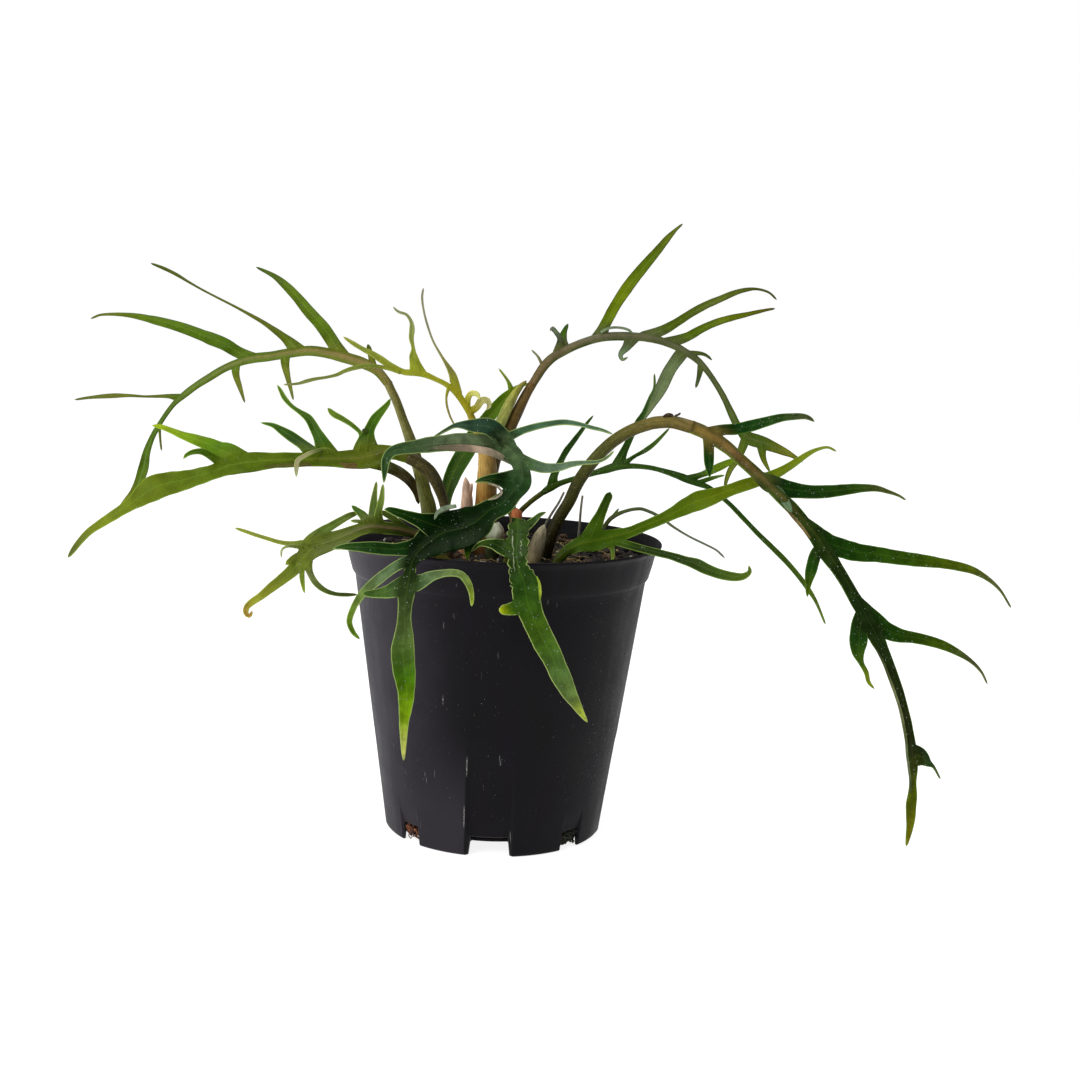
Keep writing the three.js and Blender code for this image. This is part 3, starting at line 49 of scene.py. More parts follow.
# lean: how much deeper a blade gets for each millimetre across it to the right, and up.
# The number before a lobe's points says how far it bends away from the eye, or towards it.
LEAVES = {
    # Leaf A, the far arch to the upper left.
    "leaf_a": {
        "lean": (0.1, 0.5),
        "stalk": [(-25.5, 94, 2, 6.2), (-26.6, 108, 3, 6.2), (-27.6, 119, 4, 6), (-29.4, 126, 5, 5.2),
            (-31.7, 134, 6, 4.6), (-34.8, 144, 8, 4.2), (-38, 152.5, 10, 3.4), (-41, 160, 12, 3.3),
            (-44, 166, 14, 3.2)],
        "rib": [(-44, 166, 14, 3.2), (-48, 170.5, 17, 3.4), (-53, 173, 21, 4), (-60, 175, 26, 4.4),
            (-66, 176.3, 30, 4), (-73, 177, 34, 3.6), (-80, 176, 38, 3.5), (-88, 174.4, 43, 3.6),
            (-95, 173.3, 47, 3.6), (-100, 171.5, 50, 2.8), (-105, 169.2, 53, 2.7), (-110, 166, 55, 2.8),
            (-115, 162.7, 57, 2.6), (-120, 158.7, 59, 2.4), (-123, 156, 60, 1.8), (-126, 152.1, 60, 1.7),
            (-129, 147.4, 60, 1.8), (-131.5, 142.7, 60, 2.2), (-133.5, 137.3, 60, 2.8),
            (-134.7, 131.5, 59, 3.8), (-136.5, 126, 58, 3.3), (-139, 121.5, 57, 2.6),
            (-141.8, 118.2, 56, 1.9), (-145, 114.5, 55, 0.7)],
        "lobes": [
            (14, [(-61, 175, 7), (-63.7, 179, 5.2), (-68.5, 185.8, 4.6), (-73.8, 191.4, 4.3),
                (-78.3, 196.5, 3.8), (-83, 201, 2.9), (-87, 203.9, 1.8), (-93.2, 206.7, 0.7)]),
            (16, [(-77, 176.8, 6), (-80.5, 179.8, 4.2), (-84, 182.5, 2.8), (-88, 185.2, 2),
                (-91.6, 187.4, 1.5), (-100.2, 191.8, 0.9), (-112.7, 197.7, 0.75), (-118, 200.5, 0.9),
                (-122.5, 203, 1.2), (-127, 205, 1.2), (-131.8, 206.7, 0.7)]),
            (10, [(-94, 173.4, 5), (-99.6, 175.5, 4.4), (-104.7, 178.3, 4.7), (-110, 180.2, 4.7),
                (-120, 183.6, 3.8), (-130, 186, 3.2), (-140, 187.6, 1.7), (-150, 187.4, 0.9),
                (-154, 185.8, 0.7)]),
            (-9, [(-82, 176, 4), (-82.2, 172, 3.2), (-81.3, 167.5, 2.2), (-80.3, 163.7, 1.5),
                (-79, 158.6, 0.7)]),
            (-8, [(-100.5, 171, 3.4), (-100.3, 167, 2.6), (-99, 163, 1.9), (-97, 157, 0.7)]),
            (12, [(-121, 158.2, 3), (-125.3, 158.4, 1.6), (-133.8, 158, 0.9), (-140.3, 158.1, 1.2),
                (-147, 157.7, 1.8), (-154.8, 156.8, 1.1), (-160.2, 155.8, 0.7)]),
            (-3, [(-128.7, 148, 1.2), (-128.5, 143, 0.8), (-128, 138, 0.7)]),
            (3, [(-49.5, 172, 3), (-51, 177.6, 2), (-51.8, 180.2, 1.3)]),
        ],
    },
    # Leaf B, the broad light one at the middle left.
    "leaf_b": {
        "lean": (-0.1, 0.55),
        "stalk": [(-19.5, 93, -15, 3.4), (-20.4, 106, -16, 3.4), (-21.6, 119, -17, 3.4),
            (-22.9, 124.5, -18, 3.9), (-24.9, 129.4, -19, 4.6), (-28, 134, -20, 5), (-32, 137, -21, 4.9),
            (-36.3, 138.9, -22, 4.4)],
        "rib": [(-36.3, 138.9, -22, 4.4), (-41.8, 140.4, -23, 5), (-46, 140, -24, 7),
            (-50, 138.7, -25.5, 8.6), (-56, 137.5, -27, 7.2), (-65, 137.2, -30, 5.6),
            (-75, 136.6, -33, 5.3), (-85, 136, -36, 6), (-94, 135, -38, 7.4), (-102, 133.4, -40, 7),
            (-108, 131, -42, 5.8), (-115, 128.6, -43, 6.3), (-120, 127.1, -44, 7.5),
            (-125, 125.9, -45, 8.9), (-130, 124.3, -46, 9.4), (-134, 121.8, -47, 8.2),
            (-137, 119.3, -48, 6.3), (-140, 117.2, -49, 4.9), (-145, 113.7, -50, 3.9),
            (-150, 110.3, -51, 3.2), (-155, 106.7, -52, 2.8), (-158.5, 103, -53, 2.5),
            (-161.3, 99.3, -54, 2), (-163.3, 96.3, -54, 0.8)],
        "lobes": [
            (8, [(-98, 135, 9), (-103, 137.8, 8), (-106.5, 139, 6.6), (-110, 140.8, 5.4),
                (-115, 142.5, 4.2), (-120, 144, 3.1), (-124.7, 145.8, 2.2), (-128.5, 147, 1.7),
                (-131.5, 147.3, 0.7)]),
            (-6, [(-104, 133.5, 4), (-109.4, 136.6, 3), (-112.7, 138.2, 2.6), (-116, 138, 2),
                (-118.6, 136.8, 1.4), (-119.8, 135.3, 0.8)]),
            (8, [(-66, 139, 9), (-68, 143, 5.6), (-70.5, 147.5, 4), (-73.3, 152, 3.2), (-76.5, 154.3, 1.9),
                (-79.6, 156.4, 1.6), (-82.3, 159.3, 1.8), (-83.7, 161.8, 1.5), (-85, 164, 0.7)]),
            (19, [(-71, 139, 5), (-75, 142, 4.2), (-79.2, 144.8, 4.1), (-83.2, 147.2, 3), (-86.5, 149, 1.8),
                (-91, 149.8, 0.7)]),
            (16, [(-55, 139.2, 4), (-53.6, 146.5, 1.8), (-56.6, 149.8, 1.8), (-60.6, 152.3, 2.2),
                (-64, 154, 2.2), (-66.2, 156.1, 1.4)]),
            (9, [(-52, 138.5, 12), (-51.6, 143.5, 8), (-50.7, 148.3, 4.4), (-48.6, 152.7, 3.6),
                (-46, 156, 2.6), (-44, 158.5, 1.8), (-43, 160.5, 0.8)]),
            (31, [(-49, 137, 7), (-43.8, 135.2, 4.6), (-38.8, 133, 4.2), (-35, 130, 3.8), (-32.8, 126.4, 3),
                (-31.6, 121.5, 1.2)]),
            (-8, [(-62, 138.5, 3), (-66.5, 140.8, 1.4), (-71.7, 139.5, 1.6), (-75, 137.8, 1.8),
                (-77.2, 136, 2), (-77.6, 133, 1.6), (-77.6, 130.1, 0.7)]),
        ],
    },
    # Leaf C, the light one that hangs over the rim at the front left.
    "leaf_c": {
        "lean": (-0.2, 0.5),
        "stalk": [(-17, 93, -24, 3.6), (-21, 100, -26, 3.6), (-26.5, 106, -29, 3.6), (-32, 110, -33, 3.6)],
        "rib": [(-32, 110, -33, 3.6), (-38, 111.5, -37, 4.4), (-43.6, 112, -42, 4.8),
            (-48.3, 112.3, -46, 5), (-52.3, 111.5, -49, 5), (-56.2, 109.9, -52, 5.2), (-60.2, 108, -55, 6),
            (-64.1, 106.4, -58, 7), (-68.1, 104.7, -61, 7.4), (-72, 102.2, -64, 7), (-75.3, 98.6, -67, 6.2),
            (-78.6, 94.5, -69, 5), (-82.5, 91, -71, 4.2), (-86.5, 87.7, -73, 3.6), (-90.5, 84.2, -75, 3),
            (-93.8, 81.8, -76, 2.7), (-95.8, 79.7, -77, 2.4), (-96, 77.4, -78, 2.2),
            (-94.7, 76.4, -79, 1.6), (-93.7, 78.4, -80, 1)],
        "lobes": [
            (6, [(-68, 104.6, 5), (-74.5, 105, 2.8), (-78.7, 104.7, 2.1), (-83.3, 105.1, 1.7),
                (-88, 106.3, 1.6), (-92.7, 107.6, 1.6), (-96.8, 108.9, 1.4), (-100.4, 109.9, 0.8)]),
            (-8, [(-73, 101.5, 4), (-78, 99.2, 2.8), (-81.2, 96.8, 1.8)]),
            (18, [(-74, 101.5, 6), (-72.5, 105.5, 4.6), (-69, 109, 3.6), (-64.5, 111.8, 3.1),
                (-60.6, 114.3, 2.8), (-57, 116.4, 2.4), (-54.3, 117.3, 1.4)]),
            (7, [(-50, 112.5, 5), (-52, 116, 3.6), (-54, 117.8, 2.8), (-56.7, 120, 1.2)]),
            (10, [(-47.6, 112.5, 7), (-48.2, 117, 4.6), (-48.4, 121.8, 2.8), (-47.6, 129.4, 0.9)]),
            (3, [(-46.3, 112.5, 5), (-46.6, 117.6, 2.8), (-45.6, 122.6, 2.4), (-45.1, 128.6, 0.9)]),
            (-5, [(-75, 98, 4), (-75, 94.5, 2.2), (-74.9, 91.3, 2), (-74, 86, 0.8)]),
            (11, [(-72.6, 99, 4), (-72.4, 95.4, 3), (-71.4, 92.6, 2.6), (-69.2, 89.5, 2.5),
                (-65.9, 87.2, 2), (-62, 86.1, 1.6), (-58, 86, 1.5), (-54, 86.2, 0.9)]),
            (-3, [(-34.4, 110.6, 3), (-36.8, 112.7, 2.4), (-40.3, 115.2, 2.4), (-43.5, 117.1, 2.2),
                (-46, 118.2, 1.8)]),
            (3, [(-50.5, 112, 2.6), (-53.4, 114, 1.5), (-57, 114.2, 0.9)]),
            (-2, [(-70.5, 103.2, 4), (-76.4, 103.6, 1.6), (-80.5, 103.7, 1), (-82.7, 102.3, 0.8),
                (-82.9, 99.2, 0.7)]),
        ],
    },
    # Leaf D, the dark one that arches to the front, with a hanging end lobe.
    "leaf_d": {
        "lean": (0.05, 0.6),
        "stalk": [(5.4, 94, -9, 4), (5.4, 108, -10, 4), (4.6, 117, -11, 3.8), (2.8, 122.6, -12, 3.6),
            (4.2, 128, -12.8, 3.5), (6, 132.4, -13.4, 3.5), (5.6, 136.8, -14.6, 3.6),
            (3.4, 140.4, -16, 3.8), (1.4, 142.2, -17.4, 4)],
        "rib": [(0.4, 143.6, -18, 7), (3.6, 141, -21, 6.6), (6.2, 136.6, -24, 6.2), (6.7, 131, -27, 7.2),
            (3.4, 127, -30, 7.4), (0.2, 123, -34, 8), (-5.3, 119.7, -37, 9), (-9.6, 115.8, -41, 13.6),
            (-15.2, 112.9, -45, 15.2), (-21.2, 111.2, -49, 14.8), (-26.5, 107.8, -53, 12.4),
            (-31, 103.8, -58, 9), (-33.5, 99.4, -62.5, 4.4), (-34.3, 95.5, -65, 4.6), (-35, 91.5, -67, 6.4),
            (-35.5, 87.5, -68.5, 6.4), (-35.8, 83, -69, 5.4), (-36, 77, -70, 5.6), (-36, 71, -71, 7.6),
            (-36.3, 65, -71, 9), (-35.8, 59, -71, 8.7), (-35, 53, -71, 7.6), (-34.6, 47.7, -71, 6.6),
            (-34.8, 42.5, -71, 5.2), (-35.2, 37, -71, 3.8), (-35.2, 31, -71, 2.7), (-35.1, 25.5, -71, 1.7),
            (-35, 22, -71, 0.7)],
        "lobes": [
            (-6, [(6.6, 131, 11), (2.5, 131.5, 9.2), (-1.2, 131.9, 5.6), (-5.4, 132, 3.2), (-8.6, 131.4, 2),
                (-10.8, 130.5, 0.9)]),
            (-2, [(-11, 115, 8), (-12, 108.2, 5.6), (-12.7, 104.2, 2.8), (-12.8, 102.2, 1.6),
                (-12.5, 100.6, 0.9)]),
            (-4, [(-19, 111.8, 14), (-25, 113.4, 10.6), (-30.5, 115.2, 6.4), (-35.5, 116.8, 4.2),
                (-39.5, 118, 3.3), (-42.5, 118.9, 2.4), (-44.5, 119.1, 1)]),
            (-9, [(-26, 107, 11), (-33, 105, 7), (-40, 104, 5), (-48, 104.3, 4.7), (-55, 104.4, 3.6),
                (-60, 104.2, 2.2), (-63.5, 103.4, 0.8)]),
            (-3, [(-33, 100.4, 5), (-38.5, 98.2, 4), (-43.3, 94.7, 4), (-47.3, 91.3, 3.8), (-51, 87.8, 3.4),
                (-53.6, 84.3, 2.8), (-55.6, 80.3, 2.5), (-56.8, 75.6, 2.2), (-55.3, 71.7, 2),
                (-52.7, 69, 1)]),
            (1, [(-35, 91.5, 7), (-39, 89.2, 6.6), (-42.8, 87.6, 5), (-47.8, 86.8, 3.4), (-52, 86.6, 1.8)]),
            (-2, [(-35, 90.5, 7), (-31, 91.6, 6.2), (-26.3, 94.2, 4), (-22.3, 95.4, 3), (-18.3, 95.9, 2.8),
                (-15, 95.3, 2.8), (-12.6, 92.8, 2.8), (-11.2, 89.6, 2.4), (-10.6, 86.3, 1.8),
                (-10.6, 83.3, 0.9)]),
            (-17, [(1.6, 142.8, 8), (-4, 144.2, 7.6), (-10, 145.2, 7), (-16, 145.3, 6.7),
                (-22.7, 144.7, 6.3), (-28.8, 143.8, 6), (-34.3, 142.8, 5), (-39.2, 141.9, 4.2),
                (-42.4, 140.5, 3.9), (-44.2, 137.6, 3.5), (-44.6, 134, 2.7), (-44.8, 129, 0.8)]),
            (-6, [(1.2, 143.2, 6), (-1.8, 148.2, 7), (-6.3, 151.4, 6.6), (-12.4, 151.6, 5),
                (-16.2, 151.7, 3), (-19, 151.3, 1.8), (-22.7, 149.3, 1.3), (-27.2, 146.4, 0.7)]),
            (-8, [(1.2, 143.3, 5), (0.8, 147.2, 4), (4.4, 149.6, 3), (9.9, 151.7, 2.6), (15.6, 153.2, 2.4),
                (21.5, 154.1, 2.2), (26.7, 153.7, 1.8), (32, 152.5, 1.5), (36, 151.7, 1.2),
                (39.8, 150.4, 0.7)]),
            (-13, [(4, 140.5, 6), (7.6, 138.9, 5), (11.3, 137.6, 4.6), (15.3, 136.8, 3.8),
                (20.6, 137.3, 3.1), (24.6, 138.5, 2.4), (29.2, 139.3, 1.8), (33.9, 139.7, 1.5),
                (36.6, 140.6, 1.2), (38.6, 142, 1.1), (40.6, 144.2, 0.7)]),
        ],
    },
    # Leaf F, the arch behind on the right.
    "leaf_f": {
        "lean": (-0.1, 0.5),
        "stalk": [(-7, 96, 9, 4.6), (-6.6, 112, 9.2, 4.6), (-6, 124, 9.4, 4.6), (-3.7, 138.5, 9.6, 4.6),
            (-1.4, 144.4, 10, 4.4), (1.2, 150, 10.4, 4.4), (4, 157, 11, 4.2), (6.8, 163, 12, 3.6),
            (9.4, 167.8, 13, 3.2)],
        "rib": [(9.4, 167.8, 13, 3.2), (13.2, 174.2, 15, 3.2), (16.5, 177.8, 16, 3.2), (21, 180.6, 18, 3),
            (26.3, 183.2, 20, 3), (31.4, 185.1, 22, 3), (36, 186.1, 24, 3.1), (41, 186.5, 26, 3.1),
            (45.5, 186.5, 28, 3.1), (50, 186.4, 30, 3), (54.8, 185.7, 31, 3), (58.8, 184.5, 33, 2.7),
            (62.8, 183, 34, 2.6), (66.8, 180.8, 35, 2.5), (70.3, 178.5, 36, 2.3), (73.8, 174.8, 37, 2.1),
            (77.3, 170.2, 38, 2.1), (80.3, 165.6, 38, 2.3), (83.3, 160, 38, 2.7), (86.3, 154.8, 38, 3),
            (90, 151, 37, 4.4), (95, 149.4, 36, 5), (99.7, 147.8, 35, 4), (104.3, 146, 34, 2.9),
            (107.5, 144.6, 33, 1.7), (111, 142.5, 32, 0.7)],
        "lobes": [
            (12, [(33, 186, 5), (34.6, 189, 4.2), (36.3, 192.5, 4.1), (38.4, 196.8, 4), (41.2, 201.6, 4.1),
                (44.8, 207, 4.1), (49, 212.5, 3.8), (53.4, 218, 3.1), (57, 222.7, 2.2), (60, 226, 1.1),
                (62, 227.8, 0.7)]),
            (12, [(49, 186.3, 4.6), (56.6, 189.2, 3.6), (61.7, 192.3, 3.1), (66.6, 195.7, 3),
                (71.8, 198.8, 2.8), (77.5, 201.5, 2.4), (82, 203.6, 2), (86, 204.9, 1.6), (90.2, 205.4, 1),
                (94.8, 204.3, 0.8), (97.8, 201.8, 0.7)]),
            (4, [(58, 184.6, 4.4), (65.2, 186.9, 3.6), (71, 190.3, 2.9), (76.2, 192.8, 2.6),
                (81.5, 194.6, 2.3), (86.5, 195.9, 1.9), (90.5, 197, 1.5), (94.8, 198.1, 1),
                (97.4, 198.6, 0.7)]),
            (-4, [(66, 181, 3), (70, 181.3, 1.7), (72.7, 180.8, 1.1), (75.3, 179, 0.7)]),
            (-5, [(71.3, 177.5, 3), (70.8, 173, 1.8), (69.8, 168.6, 0.9)]),
            (-3, [(64.5, 181.8, 5), (61.6, 177.6, 4.7), (59.5, 174, 4.6), (57, 168, 4.4), (55, 164, 3.6),
                (53, 160, 2.4), (50.8, 155.5, 0.7)]),
            (-5, [(46, 186, 5), (43.4, 182.4, 3), (41.5, 179.8, 1.9), (42.2, 178, 1.2),
                (44.2, 178.9, 0.7)]),
            (4, [(19.6, 180.5, 6), (19.8, 184.5, 3.6), (20.5, 187.6, 2), (21.7, 190.3, 1.1)]),
            (-4, [(18.5, 180.5, 4), (19, 184.6, 2.2), (17.4, 187, 1.7), (15.9, 188.4, 1.7),
                (15.2, 187.5, 0.9)]),
            (3, [(13, 174.5, 1.4), (11, 178, 0.9), (8.6, 180.3, 0.7)]),
            (-3, [(95, 149, 4), (96.4, 143.2, 2.1), (99, 138.5, 0.8)]),
            (-3, [(89.5, 151, 4), (87, 143.5, 2.6), (84.2, 138.6, 2.1), (83, 134.8, 1.6),
                (82.5, 131, 0.7)]),
        ],
    },
    # Leaf G, the long dark arch that droops to the right.
    "leaf_g": {
        "lean": (0.15, 0.5),
        "stalk": [(15.5, 95, -13, 4.6), (17.3, 107, -14, 4.6), (20.6, 117, -15, 4.6),
            (24.5, 124.4, -17, 4.6), (28.5, 133.2, -19, 4.6), (34.6, 142.1, -21, 4.6),
            (42.2, 149.2, -23, 4.6), (51.3, 153.9, -25, 4.6), (60.5, 155.7, -27, 4.8),
            (69.6, 153.9, -29, 5)],
        "rib": [(69.6, 153.9, -29, 5), (74.4, 152, -30, 5), (83, 146.7, -31, 4.7), (87, 143.4, -32, 4.5),
            (91.9, 139.4, -33, 4.3), (96.7, 135.3, -34, 4.2), (100.6, 131.7, -35, 4.2),
            (104.4, 128.4, -36, 4.5), (108.6, 124.7, -37, 4.6), (112.8, 120.1, -38, 4.7),
            (117.3, 115, -38, 5.2), (121.8, 109, -39, 5.8), (126.2, 103.2, -40, 5), (130, 97.8, -41, 4.6),
            (133.3, 92.6, -41, 4.6), (136.5, 87.8, -42, 5), (139.3, 83, -42, 5.8), (142.6, 77.8, -43, 5.8),
            (145.4, 73, -43, 4.8), (148, 68.2, -44, 4.1), (150.6, 62.2, -45, 3.8), (153.2, 56, -46, 3.7),
            (155.4, 50, -46, 3.5), (157.2, 44, -47, 3.5), (158.8, 37.5, -48, 3.7), (159.8, 31.7, -48, 4.6),
            (160.6, 26, -49, 3.9), (161, 20.5, -49, 2.8), (161.2, 16, -50, 3.6), (161, 11.8, -50, 4.3),
            (161.2, 7.5, -50, 3.9), (161.2, 3.3, -50, 2.9), (160.8, -1, -50, 2), (160.4, -5, -50, 0.8)],
        "lobes": [
            (8, [(75.5, 152, 5), (80.5, 153.4, 4.2), (85.5, 153.9, 4.4), (91, 155.3, 4.2), (96.4, 157, 3.8),
                (102, 158.7, 3.1), (106.5, 159.3, 2.6), (110.3, 159.5, 2), (112.6, 158.9, 1.5),
                (114.4, 157.7, 0.7)]),
            (-5, [(75.3, 152.2, 4.6), (75.7, 148, 4.2), (76, 143.5, 4), (76.3, 139.5, 3),
                (76.7, 135.6, 0.9)]),
            (10, [(94, 137, 4), (98.8, 134.4, 6.6), (104, 132.6, 6.8), (109.5, 131.8, 5.8),
                (115, 131.5, 5.3), (121.3, 131.9, 4.9), (127.5, 132.8, 4.1), (133.6, 133.6, 3.2),
                (139, 133.7, 2.4), (143.7, 132.6, 1.6), (147.7, 131.3, 1), (150.5, 129.7, 0.7)]),
            (9, [(112, 121, 4), (117.6, 116, 6), (122.6, 112.4, 7.4), (128, 110.6, 7.4),
                (133.8, 109.3, 6.8), (141, 108.8, 6), (148, 108, 5.6), (155.3, 107.3, 5),
                (162.3, 106.7, 4.4), (169.5, 105.8, 3.7), (176.7, 104.3, 2.9), (181.5, 102.2, 2.2),
                (185.6, 99.5, 1.5), (189, 96.2, 1), (193, 90.3, 0.7)]),
            (6, [(133.2, 92.8, 4), (137, 88, 6), (141.4, 83.6, 7.2), (146, 80.2, 6.6), (151.3, 78.2, 5.5),
                (157, 77.5, 4.6), (162.6, 76.5, 4.2), (168.2, 75, 3.7), (174, 72.5, 2.6), (179.8, 69, 1.6),
                (183.8, 65.2, 1), (186.5, 60.5, 0.7)]),
            (-6, [(119.8, 111.6, 3), (117.9, 107.5, 4.4), (116.7, 101.6, 4.4), (116.1, 97.6, 3),
                (115.9, 94, 1.6), (116, 91.6, 0.7)]),
            (-7, [(137.4, 86.4, 4), (136.6, 82, 6.4), (136.3, 78.6, 7), (136.4, 75, 7.2), (136.6, 71, 5),
                (138, 67, 2.2), (140.2, 63.2, 1.8), (141.3, 59.7, 1.5), (143.7, 57, 0.7)]),
            (3, [(159.8, 32.4, 7), (163.4, 30.9, 6.6), (166.3, 28.6, 3.2), (168.5, 27.2, 1.3),
                (171.5, 22.4, 0.7)]),
        ],
    },
    # Leaf H, the lime one over the rim at the front right, behind leaf G.
    "leaf_h": {
        "lean": (0.1, 0.5),
        "stalk": [(18.4, 94, -29, 3.2), (21.3, 102, -29, 3.6), (25, 106.2, -29, 4.2)],
        "rib": [(25, 106.2, -29, 4.2), (29.6, 108.6, -29, 6.2), (34, 109.8, -28, 7.8),
            (38.5, 110.8, -27, 7), (43, 112.2, -26, 5.6), (48.3, 114, -25, 4.3), (53.6, 116.5, -24, 4),
            (59, 119, -23, 4.2), (63.6, 121.5, -23, 5), (68.4, 124.3, -22, 6.5), (73, 126.6, -22, 7.2),
            (77.8, 128.3, -22, 6.4), (83, 130.4, -21, 5), (88.4, 132.6, -21, 4.8), (94.8, 134.9, -21, 4.2),
            (101.3, 137.8, -20, 3.8), (105.3, 140.2, -20, 3.2), (109.2, 143, -20, 2.6),
            (113, 145.8, -20, 1.9), (116.2, 147.5, -20, 1.3), (120, 148.4, -20, 0.9),
            (123.3, 147, -20, 0.7)],
        "lobes": [
            (6, [(33, 110.5, 9), (34.8, 115.5, 5.4), (36.8, 120.5, 4), (38.3, 124.5, 3.4),
                (39.4, 127.2, 3.1), (39.8, 128.7, 2)]),
            (-8, [(41, 111.2, 2.6), (41.6, 107.3, 1.8), (41.9, 104.3, 1.4), (41.7, 102, 0.8)]),
            (-22, [(40, 111, 5), (44.5, 109.8, 3.4), (48.6, 108.7, 3), (54, 107.4, 3), (58.7, 106.4, 3),
                (64, 105.3, 3.1), (68.8, 103.9, 3.4), (73.5, 102.6, 4.3), (77, 101, 4.2), (82.3, 99.2, 3.9),
                (87.7, 98.3, 3.6), (91.4, 98.6, 2.8), (93.6, 100.4, 1.8), (93.2, 102.8, 0.8)]),
        ],
    },
    # Leaf I, the thin one at the middle right.
    "leaf_i": {
        "lean": (0.1, 0.4),
        "stalk": [(3.5, 96, 17, 2.2), (4.5, 110, 17, 2.2), (6, 119, 17, 2), (9.8, 123.5, 17, 1.9),
            (14.3, 127.2, 17, 2)],
        "rib": [(14.3, 127.2, 17, 2), (17.6, 129.6, 17, 3), (21, 131.3, 16, 2.1), (25, 132.8, 15, 1.9),
            (29.5, 134.3, 14, 1.9), (33.8, 135.7, 13, 2.2), (38.3, 137.2, 12, 3), (42.2, 138.5, 11, 3.2),
            (46.2, 138.7, 10, 2.2), (50.8, 138.7, 9, 1.9), (55.5, 138.2, 8, 1.9), (60.7, 137, 7, 2.1),
            (64.8, 135.8, 6, 2.6), (68.8, 134.4, 5, 2.9), (73.3, 132.9, 4, 2.4), (77.3, 131.4, 3, 1.8),
            (84.5, 126, 2, 1.7), (90.2, 120.6, 1, 1.8), (96, 115, 0, 1.9), (101.8, 109.8, 0, 2),
            (107, 105, 0, 2), (112, 99.7, 0, 2), (116.2, 94.5, 0, 1.8), (119.3, 90, 0, 1.3),
            (123.5, 81.3, 0, 0.7)],
        "lobes": [
            (5, [(17.8, 129.6, 4), (18.6, 134, 3), (20.4, 138.3, 2.6), (22.6, 143, 2.4), (25.3, 147, 2),
                (28.2, 151.2, 1.6), (30.3, 154.3, 1.2), (32.4, 157, 0.7)]),
            (2, [(42, 138.5, 5), (43.9, 143.2, 3.4), (45.6, 147.2, 2.6), (47, 150.5, 2.3), (49, 155.2, 2.1),
                (51.2, 159, 1.8), (53, 164.3, 1.2), (54.5, 168, 1), (54.3, 173.3, 0.7)]),
            (-4, [(43.5, 138.8, 2.6), (48.2, 142.3, 1.5), (52.3, 144.8, 1.8), (55.7, 147.6, 1.6),
                (60.8, 153.3, 0.7)]),
            (3, [(68, 134.6, 3), (73.5, 136.4, 2.2), (77.5, 138.3, 3), (81.6, 140.4, 2.9), (85, 142.2, 1.9),
                (87, 143.3, 0.8)]),
            (-5, [(72, 133.2, 2), (76.2, 134.8, 1.7), (80.2, 136.1, 1), (82.2, 136.6, 0.7)]),
        ],
    },
    # Leaf J, the young lime one in the middle, in front of leaf A.
    "leaf_j": {
        "lean": (0, 0.35),
        "stalk": [(-8.8, 146, 0, 3.7), (-11.6, 152, 0, 3), (-13.6, 156.5, 0, 2.5)],
        "rib": [(-13.6, 156.5, 0, 2.5), (-15.8, 159.8, 0, 2.4), (-18.6, 163.6, 0, 2.6),
            (-22.5, 166.5, 0, 2), (-26.5, 168.3, 0, 1.8), (-30.4, 169.8, 0, 2.2), (-34.5, 170.4, 0, 2.5),
            (-38.4, 170.5, 0, 2.3), (-43, 172.5, 0, 2.5), (-46.5, 174.6, 0, 2.5), (-49.8, 176.6, 0, 2.2),
            (-53.7, 178.4, 0, 1.8), (-57.5, 180.5, 0, 1.6), (-60.9, 182.6, 0, 0.7)],
        "lobes": [
            (-6, [(-39.5, 170.8, 2.6), (-43.5, 171.5, 1.6), (-48, 172.2, 1.5), (-52.5, 172.2, 1.6),
                (-57, 171.2, 1.6), (-60.3, 170, 1.4), (-63, 168.6, 1.3), (-67, 167.5, 1.1),
                (-70.8, 166.8, 1.2), (-74, 165.9, 1.4), (-77.4, 164.8, 1), (-82.7, 164.2, 0.7)]),
            (5, [(-32.5, 170, 6), (-34.2, 174, 4), (-34.9, 176.6, 3), (-35, 179.2, 1.4), (-35.8, 183, 1.8),
                (-35.6, 186.3, 2), (-36, 189, 1.4), (-37.8, 191.5, 1.1), (-40.4, 192.3, 1),
                (-41.8, 193.2, 0.8), (-42.7, 194.2, 0.7)]),
            (6, [(-18.4, 163.4, 4.4), (-20, 169.5, 3), (-21.8, 172.8, 1.8), (-24.3, 176.5, 0.9),
                (-27.8, 182.3, 0.75), (-30, 188, 0.75), (-31.5, 193.3, 0.75), (-32.2, 198, 0.8),
                (-31.8, 201.4, 0.7)]),
            (-3, [(-21.5, 165.7, 1.6), (-22.3, 162, 0.9), (-22, 158.7, 0.8), (-20.7, 154.7, 0.75),
                (-19, 151.5, 0.7)]),
            (-4, [(-14.6, 158, 3), (-14.3, 161.6, 2.4), (-13.1, 163.5, 2.2), (-11, 163.3, 2),
                (-9.9, 161.4, 1)]),
            (1, [(-13.5, 156.8, 3), (-11, 158.4, 2.6), (-9.4, 160.8, 2.8), (-7.3, 161.2, 2.4),
                (-6.3, 159.4, 1.8), (-7.3, 157.6, 1)]),
        ],
    },
    # Leaf K, the short one that hangs over the rim at the front.
    "leaf_k": {
        "lean": (-0.15, 0.4),
        "stalk": [(1.5, 94, -22, 3), (2.6, 104, -23, 3), (4, 111, -26, 3), (5, 115, -30, 3.2)],
        "rib": [(5, 115, -30, 3.2), (5.6, 116.6, -36, 4.8), (5.8, 114, -43, 7.2), (5.9, 109.5, -50, 8.4),
            (5.8, 104.8, -57, 7.6), (6.2, 100.6, -62, 7.2), (7.2, 97, -64.5, 7.8), (8.8, 93.6, -66, 9.8),
            (9.6, 89.6, -67, 10.8), (10.4, 85.6, -68, 10.4), (12.2, 80.8, -68.5, 9.4),
